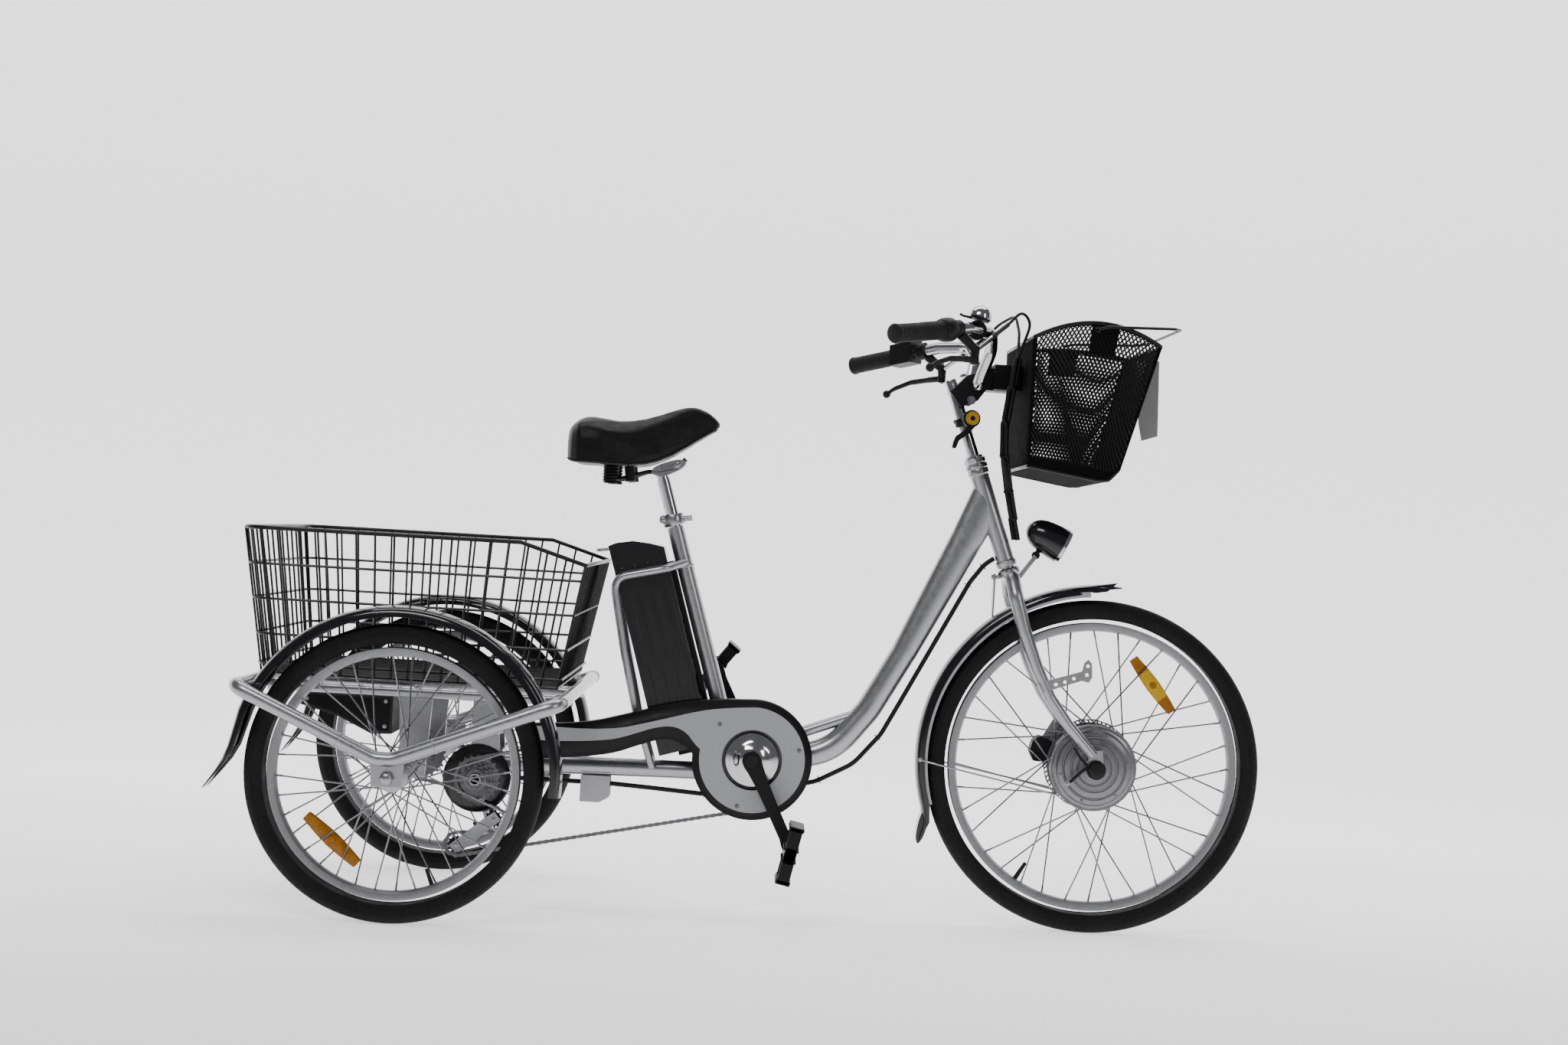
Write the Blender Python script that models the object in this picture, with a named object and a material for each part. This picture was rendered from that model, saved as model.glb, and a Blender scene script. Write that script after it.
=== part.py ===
"""Adult electric tricycle: one front wheel with a hub motor, two rear wheels, and two baskets.

Everything is modelled with the rear axle at x = 0 and the floor at z = 0, +X forward, +Y to the
rider's left, in metres. The last step slides it along X, so the origin lies under the middle.
"""

import math

import bmesh
import bpy
from mathutils import Matrix, Vector

# Driving dimensions.
WHEELBASE = 1.227
TRACK = 0.630
REAR_TYRE_R = 0.255
FRONT_TYRE_R = 0.305
TYRE_HALF_WIDTH = 0.0245
REAR_RIM_R = 0.214
FRONT_RIM_R = 0.263
CRANK_LENGTH = 0.170
CRANK_ANGLE = math.radians(-63.3)
BB = Vector((0.605, 0.0, 0.288))
CHAINLINE_Y = -0.055
CHAINRING_R = 0.0855
SPROCKET_R = 0.0325
CHAIN_HALF_HEIGHT = 0.0035
CHORD = 0.0007
JACKSHAFT = Vector((0.108, 0.0, 0.224))
STEER_LOW = Vector((1.053, 0.0, 0.660))
STEER_HIGH = Vector((0.9274, 0.0, 0.998))
SEAT_LOW = Vector((0.5694, 0.0, 0.283))
SEAT_HIGH = Vector((0.4086, 0.0, 0.800))
SEAT_TUBE_R = 0.0155
SEATPOST_R = 0.0127
BARS_TURN = math.radians(5.0)
BAR_R = 0.0111
HOOP_Y = 0.390
HOOP_R = 0.0115
REAR_BAR_X = -0.265
FRONT_BAR_X = 0.280
RAIL_Y = 0.110
GAP = 0.0003
WHEEL_STEPS = 40

FRONT_AXLE = Vector((WHEELBASE, 0.0, FRONT_TYRE_R))
REAR_AXLE = Vector((0.0, 0.0, REAR_TYRE_R))
STEER_AXIS = (STEER_HIGH - STEER_LOW).normalized()
SEAT_AXIS = (SEAT_HIGH - SEAT_LOW).normalized()
Y_AXIS = Vector((0.0, 1.0, 0.0))
RIGHT, LEFT = -1, 1
SIDES = (("right", RIGHT), ("left", LEFT))


def material(name, colour, roughness, metallic=0.0):
    finish = bpy.data.materials.new(name)
    finish.use_nodes = True
    shader = finish.node_tree.nodes["Principled BSDF"]
    shader.inputs["Base Color"].default_value = (*colour, 1.0)
    shader.inputs["Roughness"].default_value = roughness
    shader.inputs["Metallic"].default_value = metallic
    finish.diffuse_color = (*colour, 1.0)
    return finish


def finished(name, mesh_builder, finish, smooth_angle=40.0):
    """A new object whose mesh comes from the bmesh builder's result, with its faces outward."""
    bmesh.ops.recalc_face_normals(mesh_builder, faces=mesh_builder.faces)
    mesh = bpy.data.meshes.new(name)
    mesh_builder.to_mesh(mesh)
    mesh_builder.free()
    mesh.shade_smooth()
    mesh.set_sharp_from_angle(angle=math.radians(smooth_angle))
    obj = bpy.data.objects.new(name, mesh)
    bpy.context.scene.collection.objects.link(obj)
    if finish:
        mesh.materials.append(finish)
    return obj


def bridge(builder, rings, closed=False):
    """Faces between rings of vertices; a ring of one vertex is a pole. Open ends get a cap."""
    pairs = list(zip(rings, rings[1:]))
    if closed:
        pairs.append((rings[-1], rings[0]))
    for ring, following in pairs:
        count = max(len(ring), len(following))
        for i in range(count):
            j = (i + 1) % count
            corners = []
            for vertex in (
                ring[i % len(ring)],
                ring[j % len(ring)],
                following[j % len(following)],
                following[i % len(following)],
            ):
                if vertex not in corners:
                    corners.append(vertex)
            if len(corners) > 2:
                builder.faces.new(corners)
    if not closed:
        for end in (rings[0], rings[-1]):
            if len(end) > 2:
                builder.faces.new(end)


def rounded(points, radius, steps=3):
    """The points with every inner corner replaced by an arc of about the given radius."""
    points = [Vector(point) for point in points]
    path = [points[0]]
    for before, corner, after in zip(points, points[1:], points[2:]):
        to_before = before - corner
        to_after = after - corner
        turn = math.pi - to_before.angle(to_after)
        if turn < 0.02:
            path.append(corner)
            continue
        reach = radius * math.tan(turn / 2)
        reach = min(reach, 0.49 * to_before.length, 0.49 * to_after.length)
        start = corner + to_before.normalized() * reach
        end = corner + to_after.normalized() * reach
        for step in range(steps + 1):
            t = step / steps
            path.append(start.lerp(corner, t).lerp(corner.lerp(end, t), t))
    path.append(points[-1])
    return path


def tube(name, points, radius, finish=None, sides=12, closed=False):
    """A round bar along the points; the radius is one number or one for each point."""
    points = [Vector(point) for point in points]
    radii = radius if isinstance(radius, (list, tuple)) else [radius] * len(points)
    builder = bmesh.new()
    rings = []
    side = None
    for i, point in enumerate(points):
        before = points[i - 1] if closed or i else point
        after = points[(i + 1) % len(points)] if closed or i + 1 < len(points) else point
        along = (after - before).normalized()
        if side is None:
            side = along.cross(Y_AXIS if abs(along.y) < 0.9 else Vector((0, 0, 1)))
        side = (side - along * side.dot(along)).normalized()
        up = along.cross(side)
        ring = []
        for k in range(sides):
            angle = 2 * math.pi * k / sides
            offset = side * math.cos(angle) + up * math.sin(angle)
            ring.append(builder.verts.new(point + offset * radii[i]))
        rings.append(ring)
    bridge(builder, rings, closed)
    return finished(name, builder, finish, 50.0)


def turned(name, profile, centre, axis, finish=None, steps=24, ring=False, phase=0.0):
    """A profile of (radius, distance along the axis) spun about the axis through the centre."""
    axis = Vector(axis).normalized()
    side = axis.cross(Vector((0, 0, 1)) if abs(axis.z) < 0.9 else Y_AXIS).normalized()
    up = side.cross(axis)
    builder = bmesh.new()
    rings = []
    for radius, along in profile:
        base = Vector(centre) + axis * along
        if radius < 1e-6:
            rings.append([builder.verts.new(base)])
            continue
        circle = []
        for k in range(steps):
            angle = 2 * math.pi * k / steps + phase
            circle.append(
                builder.verts.new(base + (side * math.cos(angle) + up * math.sin(angle)) * radius)
            )
        rings.append(circle)
    bridge(builder, rings, ring)
    return finished(name, builder, finish)


def rod(name, start, end, radius, finish=None, sides=12):
    return tube(name, [start, end], radius, finish, sides)


def bore(name, start, end, radius, sides=14):
    """A cutter whose flats clear a round bar of the given radius."""
    return rod(name, start, end, (radius + GAP) / math.cos(math.pi / sides), None, sides)


def plate(name, outline, y_low, y_high, finish=None):
    """An outline of (x, z) points with a thickness along Y."""
    builder = bmesh.new()
    rings = [[builder.verts.new((x, y, z)) for x, z in outline] for y in (y_low, y_high)]
    bridge(builder, rings)
    return finished(name, builder, finish, 30.0)


def block(name, low, high, finish=None):
    outline = [(low[0], low[2]), (high[0], low[2]), (high[0], high[2]), (low[0], high[2])]
    return plate(name, outline, low[1], high[1], finish)


def swept(name, section, frames, finish=None):
    """A closed section of (out, y) points carried along frames of (point, outward direction)."""
    builder = bmesh.new()
    rings = []
    for point, outward in frames:
        ring = [
            builder.verts.new(Vector(point) + Vector(outward) * out + Y_AXIS * y)
            for out, y in section
        ]
        rings.append(ring)
    bridge(builder, rings)
    return finished(name, builder, finish, 30.0)


def hide(helper):
    helper.hide_render = True
    helper.display_type = "WIRE"


def combine(base, others, operation):
    """Adds or cuts the other shapes with live Boolean modifiers."""
    for other in others:
        modifier = base.modifiers.new(other.name, "BOOLEAN")
        modifier.operation = operation
        modifier.solver = "EXACT"
        modifier.object = other
        hide(other)
    return base


def join(base, *others):
    return combine(base, others, "UNION")


def cut(base, *others):
    return combine(base, others, "DIFFERENCE")


def pivot(name, place, parent=None, turn=None):
    """An empty on a joint's axis."""
    empty = bpy.data.objects.new(name, None)
    bpy.context.scene.collection.objects.link(empty)
    empty.empty_display_size = 0.03
    empty.location = Vector(place)
    if parent:
        empty.parent = parent
        empty.matrix_parent_inverse = Matrix.Translation(-Vector(parent["rest_place"]))
    if turn:
        empty.rotation_mode = "AXIS_ANGLE"
        empty.rotation_axis_angle = turn
    empty["rest_place"] = Vector(place)
    return empty


def hang(parent, *objects):
    """Parents objects, and the helpers of their modifiers, to an empty without moving them."""
    for obj in objects:
        obj.parent = parent
        obj.matrix_parent_inverse = Matrix.Translation(-Vector(parent["rest_place"]))
        hang(parent, *[item.object for item in obj.modifiers if item.type == "BOOLEAN"])


def mirrored(point, side):
    """The point moved to the rider's left or right; points are written for the left side."""
    return Vector((point[0], point[1] * side, point[2]))


def on_steer(z):
    """The point of the steering axis at height z."""
    return STEER_LOW + STEER_AXIS * ((z - STEER_LOW.z) / STEER_AXIS.z)


def on_seat(z):
    """The point of the seat tube's axis at height z."""
    return SEAT_LOW + SEAT_AXIS * ((z - SEAT_LOW.z) / SEAT_AXIS.z)


def arc(centre, radius, start, end, steps):
    """Points (x, z) of an arc, with angles in degrees from +X towards +Z."""
    points = []
    for step in range(steps + 1):
        angle = math.radians(start + (end - start) * step / steps)
        points.append((centre.x + radius * math.cos(angle), centre.z + radius * math.sin(angle)))
    return points


def belt(wheels):
    """A closed path of (x, z) round wheels of (centre, radius, +1 inside or -1 outside)."""
    contacts = []
    for (here, r_here, s_here), (there, r_there, s_there) in zip(wheels, wheels[1:] + wheels[:1]):
        line = there - here
        heading = math.atan2(line.z, line.x)
        heading += math.asin((s_here * r_here - s_there * r_there) / line.length)
        normal = Vector((math.sin(heading), 0, -math.cos(heading)))
        contacts.append((here + normal * s_here * r_here, there + normal * s_there * r_there))
    path = []
    for i, (centre, radius, side) in enumerate(wheels):
        arrive = contacts[i - 1][1] - centre
        leave = contacts[i][0] - centre
        start = math.atan2(arrive.z, arrive.x)
        sweep = (math.atan2(leave.z, leave.x) - start) * side % (2 * math.pi) * side
        steps = math.ceil(abs(sweep) / (2 * math.acos(1 - CHORD / radius)))
        for step in range(steps + 1):
            angle = start + sweep * step / steps
            path.append((centre.x + radius * math.cos(angle), centre.z + radius * math.sin(angle)))
    return path


def band(name, path, y, half_width, half_height, finish):
    """A flat closed belt of rectangular section along an (x, z) path."""
    builder = bmesh.new()
    rings = []
    for i, (x, z) in enumerate(path):
        before = Vector((*path[i - 1], 0))
        after = Vector((*path[(i + 1) % len(path)], 0))
        along = (after - before).normalized()
        out_x, out_z = along.y * half_height, -along.x * half_height
        ring = [
            builder.verts.new((x + sx * out_x, y + sy * half_width, z + sx * out_z))
            for sx, sy in ((1, 1), (1, -1), (-1, -1), (-1, 1))
        ]
        rings.append(ring)
    bridge(builder, rings, closed=True)
    return finished(name, builder, finish, 30.0)


def basket_shell(name, stations, thickness, finish):
    """An open tub. Each station has bottom (x, half width, z) and top (x, half width, z)."""
    builder = bmesh.new()
    last = len(stations) - 1
    outer, inner = [], []
    for i, (bottom, top) in enumerate(stations):
        shift = thickness if i == 0 else -thickness if i == last else 0.0
        outer_ring, inner_ring = [], []
        for side in (-1, 1):
            for (x, half, z), lift in ((bottom, thickness), (top, 0.0)):
                outer_ring.append(builder.verts.new((x, side * half, z)))
                inside = (x + shift, side * (half - thickness), z + lift)
                inner_ring.append(builder.verts.new(inside))
        outer.append(outer_ring)
        inner.append(inner_ring)
    for rings, flip in ((outer, False), (inner, True)):
        for a, b in zip(rings, rings[1:]):
            builder.faces.new((a[0], b[0], b[1], a[1]))
            builder.faces.new((a[2], b[2], b[3], a[3]))
            builder.faces.new((a[0], b[0], b[2], a[2]))
        for end in (rings[0], rings[-1]):
            builder.faces.new((end[0], end[1], end[3], end[2]))
    for i in range(last):
        for k in (1, 3):
            builder.faces.new((outer[i][k], outer[i + 1][k], inner[i + 1][k], inner[i][k]))
    for i in (0, last):
        builder.faces.new((outer[i][1], outer[i][3], inner[i][3], inner[i][1]))
    return finished(name, builder, finish, 20.0)


def loft(name, sections, finish):
    """Joins closed sections, each a list of points, into one solid."""
    builder = bmesh.new()
    rings = [[builder.verts.new(point) for point in section] for section in sections]
    bridge(builder, rings)
    return finished(name, builder, finish, 60.0)


def clear_scene():
    for obj in list(bpy.data.objects):
        bpy.data.objects.remove(obj)


clear_scene()

SILVER = material("silver_paint", (0.56, 0.57, 0.59), 0.32, 0.75)
CHROME = material("chrome", (0.80, 0.80, 0.82), 0.10, 1.0)
ALUMINIUM = material("aluminium", (0.66, 0.67, 0.69), 0.30, 1.0)
STEEL = material("dark_steel", (0.20, 0.20, 0.21), 0.45, 0.9)
BLACK_GLOSS = material("black_gloss", (0.010, 0.010, 0.012), 0.18)
BLACK_PLASTIC = material("black_plastic", (0.016, 0.016, 0.018), 0.45)
BLACK_WIRE = material("black_wire", (0.012, 0.012, 0.014), 0.35)
RUBBER = material("rubber", (0.018, 0.018, 0.020), 0.75)
VINYL = material("vinyl", (0.014, 0.014, 0.016), 0.38)
GREY_PLASTIC = material("grey_plastic", (0.40, 0.41, 0.41), 0.42)
DARK_GREY = material("dark_grey", (0.045, 0.045, 0.050), 0.40, 0.3)
GLASS = material("lens", (0.85, 0.88, 0.90), 0.08)


# ---------------------------------------------------------------- main frame
def main_frame():
    """Head tube, down tube, bottom bracket shell, backbone, seat tube and battery guard."""
    cup, head = 0.0195, 0.0170
    steps = [(0.6625, cup), (0.674, cup), (0.6745, head), (0.826, head), (0.8265, cup), (0.838, cup)]
    frame = tube("main_frame", [on_steer(z) for z, _ in steps], [r for _, r in steps], SILVER, 16)
    spine = [(1.003, 0, 0.767), (0.978, 0, 0.714), (0.871, 0, 0.493), (0.812, 0, 0.385)]
    spine = rounded(spine + [(0.745, 0, 0.300), (0.600, 0, 0.288)], 0.16, 4)
    width = [max(0.0235, 0.0235 + (point.z - 0.48) * 0.022) for point in spine]
    down_tube = tube("down_tube", spine, width, SILVER, 16)
    brace = rod("brace_tube", (0.590, 0, 0.297), (0.812, 0, 0.383), 0.0105, SILVER)
    shell = rod("bracket_shell", BB - Y_AXIS * 0.034, BB + Y_AXIS * 0.034, 0.0205, SILVER, 16)
    backbone = rod("backbone", (0.1520, 0, 0.2515), (0.598, 0, 0.2575), 0.0165, SILVER, 14)
    seat_tube = rod("seat_tube", on_seat(0.262), on_seat(0.702), SEAT_TUBE_R, SILVER, 14)
    guards = []
    for name, side in SIDES:
        bend = [(0.462, 0.012, 0.636), (0.430, 0.054, 0.624), (0.335, 0.054, 0.602)]
        bend += [(0.362, 0.045, 0.470), (0.3905, 0.031, 0.355), (0.4235, 0.014, 0.258)]
        path = rounded([mirrored(point, side) for point in bend], 0.028, 2)
        guards.append(tube("guard_" + name, path, 0.0075, SILVER, 8))
    bore_start, bore_end = on_steer(0.655), on_steer(0.845)
    join(frame, down_tube, brace, shell, backbone, seat_tube, *guards)
    steerer_bore = bore("steerer_bore", bore_start, bore_end, 0.0135)
    post_bore = bore("post_bore", on_seat(0.470), on_seat(0.710), SEATPOST_R)
    axle_bore = bore("axle_bore", BB - Y_AXIS * 0.05, BB + Y_AXIS * 0.05, 0.0100, 12)
    cut(frame, steerer_bore, post_bore, axle_bore)
    return frame


def seat_clamp():
    """A collar round the top of the seat tube, with a bolt across its rear lug."""
    low, high = on_seat(0.7025), on_seat(0.722)
    collar = rod("seat_clamp", low, high, 0.0200, ALUMINIUM, 14)
    middle = (low + high) / 2
    lug = rod("clamp_lug", middle + Vector((-0.016, -0.016, 0)), middle + Vector((-0.016, 0.016, 0)), 0.0085)
    bolt = rod("clamp_bolt", middle + Vector((-0.026, 0, -0.001)), middle + Vector((0.034, 0, 0.006)), 0.0060)
    join(collar, lug, bolt)
    return cut(collar, bore("clamp_bore", on_seat(0.690), on_seat(0.735), SEATPOST_R))


def headset_nut():
    nut = rod("headset_nut", on_steer(0.8385), on_steer(0.8620), 0.0190, ALUMINIUM, 12)
    return cut(nut, bore("nut_bore", on_steer(0.830), on_steer(0.870), 0.0129))


# ---------------------------------------------------------------- rear frame
def carrier_frame():
    """Two crossbars, two rails, the axle's hangers and the jackshaft's hanger."""
    reach = HOOP_Y - 0.0603
    rear = rod("carrier_frame", (REAR_BAR_X, -reach, 0.395), (REAR_BAR_X, reach, 0.395), HOOP_R, SILVER, 12)
    low, high = (FRONT_BAR_X, -reach, 0.393), (FRONT_BAR_X, reach, 0.393)
    front = rod("crossbar_front", low, high, HOOP_R, SILVER, 12)
    pieces = [front]
    for name, side in SIDES:
        y = RAIL_Y * side
        pieces.append(rod("rail_" + name, (REAR_BAR_X, y, 0.3780), (FRONT_BAR_X, y, 0.3790), 0.0100, SILVER))
        hanger = [(-0.030, 0.374), (0.030, 0.374), (0.022, 0.225), (-0.022, 0.225)]
        pieces.append(plate("hanger_" + name, hanger, y - 0.003, y + 0.003, SILVER))
        drop = [(0.094, 0.374), (0.138, 0.374), (0.1500, 0.240), (0.1500, 0.196), (0.094, 0.196)]
        pieces.append(plate("jack_plate_" + name, drop, side * 0.040 - 0.002, side * 0.040 + 0.002))
    pieces.append(rod("jack_crossbar", (0.116, -RAIL_Y, 0.372), (0.116, RAIL_Y, 0.372), 0.0095))
    pieces.append(block("backbone_plate", (0.1465, -0.0395, 0.226), (0.1515, 0.0395, 0.278)))
    join(rear, *pieces)
    axle = bore("hanger_bore", REAR_AXLE - Y_AXIS * 0.2, REAR_AXLE + Y_AXIS * 0.2, 0.0085, 12)
    jack = bore("jack_bore", JACKSHAFT - Y_AXIS * 0.06, JACKSHAFT + Y_AXIS * 0.06, 0.0085, 12)
    return cut(rear, axle, jack)


def side_hoop(name, side):
    """The bent tube outside a rear wheel, with the plate that carries the axle's outer end."""
    inner = HOOP_Y - 0.060
    path = [(REAR_BAR_X, inner, 0.395), (REAR_BAR_X, HOOP_Y, 0.395), (-0.022, HOOP_Y, 0.2860)]
    path += [(0.008, HOOP_Y, 0.2860), (FRONT_BAR_X, HOOP_Y, 0.393), (FRONT_BAR_X, inner, 0.393)]
    path = rounded([mirrored(point, side) for point in path], 0.045)
    hoop = tube("side_hoop_" + name, path, HOOP_R, SILVER, 10)
    outline = [(-0.030, 0.284), (0.028, 0.284), (0.026, 0.240), (-0.026, 0.240)]
    y = HOOP_Y * side
    lug = plate("axle_plate_" + name, outline, y - 0.0025, y + 0.0025, SILVER)
    join(hoop, lug)
    start = REAR_AXLE + Y_AXIS * (y - 0.03)
    return cut(hoop, bore("plate_bore_" + name, start, start + Y_AXIS * 0.06, 0.0085, 12))


def rear_mudguard(name, side):
    """A curved channel over the wheel, with a hanging flap at its back end and two clips."""
    outer, half, lip, skin = 0.286, 0.031, 0.019, 0.0020
    section = [(0, -half), (0, half), (-lip, half), (-lip, half - skin), (-skin, half - skin)]
    section += [(-skin, skin - half), (-lip, skin - half), (-lip, -half)]
    centre = REAR_AXLE + Y_AXIS * (TRACK / 2 * side)
    frames = []
    for angle in range(-5, 161, 11):
        outward = Vector((math.cos(math.radians(angle)), 0, math.sin(math.radians(angle))))
        frames.append((centre + outward * outer, outward))
    for x, z, tilt in ((-0.283, 0.290, 170), (-0.302, 0.246, 158), (-0.321, 0.216, 152)):
        outward = Vector((math.cos(math.radians(tilt)), 0, math.sin(math.radians(tilt))))
        frames.append((Vector((x, centre.y, z)), outward))
    guard = swept("mudguard_rear_" + name, section, frames, BLACK_GLOSS)
    clips = []
    for label, x, z in (("front", FRONT_BAR_X, 0.393), ("rear", REAR_BAR_X, 0.395)):
        bar = Vector((x, 0, z)) - REAR_AXLE
        reach = bar.length - HOOP_R - 2 * GAP
        base = centre - Y_AXIS * (0.010 * side)
        outward = bar.normalized()
        start, end = base + outward * (outer - 0.0012), base + outward * reach
        clips.append(rod(f"clip_{label}_{name}", start, end, 0.0060, None, 8))
    return join(guard, *clips)


def rear_basket():
    """The tub of the rear basket; its front rim is lower than the rest."""
    stations = [
        ((-0.256, 0.250, 0.4067), (-0.290, 0.290, 0.661)),
        ((0.170, 0.250, 0.4067), (0.190, 0.290, 0.661)),
        ((0.262, 0.250, 0.4067), (0.304, 0.284, 0.627)),
    ]
    return basket_shell("rear_basket", stations, 0.004, BLACK_WIRE)


def controller_box():
    outline = [(-0.213, 0.3670), (-0.045, 0.3670), (-0.045, 0.299), (-0.081, 0.297), (-0.144, 0.326)]
    outline += [(-0.213, 0.344)]
    return plate("controller_box", outline, -0.085, 0.085, DARK_GREY)


# ---------------------------------------------------------------- battery
BATTERY_TILT = math.radians(16.9)
BATTERY_BASE = Vector((0.436, 0.0, 0.282))
BATTERY_UP = Vector((-math.sin(BATTERY_TILT), 0.0, math.cos(BATTERY_TILT)))
BATTERY_FRONT = Vector((math.cos(BATTERY_TILT), 0.0, math.sin(BATTERY_TILT)))
BATTERY_HALF_WIDTH = 0.0390
BATTERY_DEPTH = 0.098


def in_battery(forward, up):
    """An (x, z) point given from the battery's lower rear edge, along its own two directions."""
    point = BATTERY_BASE + BATTERY_FRONT * forward + BATTERY_UP * up
    return (point.x, point.z)


def battery():
    outline = [(0.0, 0.0), (0.084, 0.0), (BATTERY_DEPTH, 0.016), (BATTERY_DEPTH, 0.368)]
    outline += [(0.075, 0.380), (0.045, 0.393), (0.015, 0.396), (0.0, 0.394)]
    half = BATTERY_HALF_WIDTH
    pack = plate("battery", [in_battery(*point) for point in outline], -half, half, BLACK_PLASTIC)
    bevel = pack.modifiers.new("soft_edges", "BEVEL")
    bevel.width = 0.006
    bevel.segments = 2
    bevel.limit_method = "ANGLE"
    bevel.angle_limit = math.radians(50)
    return pack


def battery_handle():
    """A wire loop hinged on the top of the battery's rear edge."""
    corners = [(-0.0045, 0.388, -0.030), (-0.022, 0.391, -0.028)]
    corners += [(-0.022, 0.391, 0.028), (-0.0045, 0.388, 0.030)]
    path = []
    for forward, up, y in corners:
        x, z = in_battery(forward, up)
        path.append((x, y, z))
    return tube("battery_handle", rounded(path, 0.010), 0.0030, ALUMINIUM, 8)


def battery_dock():
    """The rail between the battery and the seat tube, and the plate under the battery."""
    back, face = BATTERY_DEPTH + 0.0004, BATTERY_DEPTH + 0.0108
    rail = [(back, 0.010), (face, 0.010), (face, 0.340), (back, 0.340)]
    dock = plate("battery_dock", [in_battery(*point) for point in rail], -0.012, 0.012, BLACK_PLASTIC)
    foot = [(0.035, -0.0080), (0.104, -0.0080), (0.104, 0.0120), (0.0992, 0.0120)]
    foot += [(0.0852, -0.0006), (0.035, -0.0006)]
    base = plate("dock_foot", [in_battery(*point) for point in foot], -0.030, 0.030, BLACK_PLASTIC)
    return join(dock, base)


# ---------------------------------------------------------------- drive
def chain_case_outline():
    """The outer edge of the case: a circle round the chainring and a tail over the top run."""
    outline = [(0.200, 0.268), (0.261, 0.273), (0.349, 0.284), (0.402, 0.305), (0.440, 0.318)]
    outline += [(0.466, 0.316), (0.488, 0.304)]
    outline += arc(BB, 0.108, 177, 452, 30)
    outline += [(0.527, 0.3925), (0.450, 0.380), (0.378, 0.358), (0.299, 0.336), (0.200, 0.330)]
    return outline


def chain_case_back():
    """The black half: an outer wall and a rim, open towards the wheel side and at the tail."""
    outline = chain_case_outline()
    builder = bmesh.new()
    rings = [[builder.verts.new((x, y, z)) for x, z in outline] for y in (-0.072, -0.0425)]
    bridge(builder, rings)
    builder.faces.ensure_lookup_table()
    back = max(builder.faces, key=lambda face: face.calc_center_median().y)
    tail = min(builder.faces, key=lambda face: face.calc_center_median().x)
    bmesh.ops.delete(builder, geom=[back, tail], context="FACES_ONLY")
    case = finished("chain_case_back", builder, BLACK_GLOSS)
    wall = case.modifiers.new("wall", "SOLIDIFY")
    wall.thickness = 0.0020
    wall.offset = -1.0
    hole = rod("case_hole", BB - Y_AXIS * 0.10, BB - Y_AXIS * 0.0650, 0.056, None, 28)
    slot = block("chain_slot", (0.480, -0.0640, 0.160), (0.6080, -0.030, 0.2080))
    return cut(case, hole, slot)


def chain_case_face():
    """The light grey plate on the front of the case."""
    outline = [(0.202, 0.303), (0.253, 0.302), (0.347, 0.309), (0.392, 0.324), (0.426, 0.337)]
    outline += [(0.459, 0.342), (0.484, 0.332), (0.500, 0.312)]
    outline += arc(BB, 0.0960, 172, 448, 30)
    outline += [(0.561, 0.3800), (0.511, 0.373), (0.425, 0.348), (0.346, 0.327), (0.202, 0.328)]
    face = plate("chain_case_face", outline, -0.0753, -0.0723, GREY_PLASTIC)
    return cut(face, rod("face_hole", BB - Y_AXIS * 0.09, BB - Y_AXIS * 0.06, 0.054, None, 28))


TENSION_WHEEL = Vector((0.079, 0.0, 0.104))
GUIDE_WHEEL = Vector((0.144, 0.0, 0.153))
CHAIN_CLEARANCE = CHAIN_HALF_HEIGHT + CHORD + GAP


def drive_chain():
    wheels = [
        (TENSION_WHEEL, 0.0165 + CHAIN_CLEARANCE, 1),
        (BB, CHAINRING_R + CHAIN_CLEARANCE, 1),
        (JACKSHAFT, SPROCKET_R + CHAIN_CLEARANCE, 1),
        (GUIDE_WHEEL, 0.0165 + CHAIN_CLEARANCE, -1),
    ]
    return band("drive_chain", belt(wheels), CHAINLINE_Y, 0.0035, CHAIN_HALF_HEIGHT, STEEL)


AXLE_CHAIN_Y = 0.015
AXLE_SPROCKET_R = 0.0400
JACK_SPROCKET_R = 0.0290


def axle_chain():
    wheels = [
        (REAR_AXLE, AXLE_SPROCKET_R + CHAIN_CLEARANCE, 1),
        (JACKSHAFT, JACK_SPROCKET_R + CHAIN_CLEARANCE, 1),
    ]
    return band("axle_chain", belt(wheels), AXLE_CHAIN_Y, 0.0035, CHAIN_HALF_HEIGHT, STEEL)


def disc(name, centre, y, half, radius, finish=None, steps=24):
    base = Vector((centre.x, y, centre.z))
    return rod(name, base - Y_AXIS * half, base + Y_AXIS * half, radius, finish, steps)


def rear_derailleur():
    """Body on the hanger, with its cage and two small wheels outside it."""
    y = CHAINLINE_Y
    arm = [(0.112, 0.190), (0.132, 0.190), (0.152, 0.158), (0.140, 0.138), (0.126, 0.150)]
    body = plate("rear_derailleur", arm, -0.0390, -0.0420, ALUMINIUM)
    cage = [(0.130, 0.156), (0.146, 0.167), (0.158, 0.152), (0.094, 0.096), (0.080, 0.090)]
    cage += [(0.066, 0.102)]
    inner = plate("cage_inner", cage, y + 0.0060, y + 0.0160, ALUMINIUM)
    outer = plate("cage_outer", cage, y - 0.0075, y - 0.0060, ALUMINIUM)
    guide = disc("guide_wheel", GUIDE_WHEEL, y, 0.0015, 0.0165, None, 14)
    tension = disc("tension_wheel", TENSION_WHEEL, y, 0.0015, 0.0165, None, 14)
    pins = [disc("cage_pin_a", GUIDE_WHEEL, y, 0.0070, 0.0045, None, 10)]
    pins.append(disc("cage_pin_b", TENSION_WHEEL, y, 0.0070, 0.0045, None, 10))
    return join(body, inner, outer, guide, tension, *pins)


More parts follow.
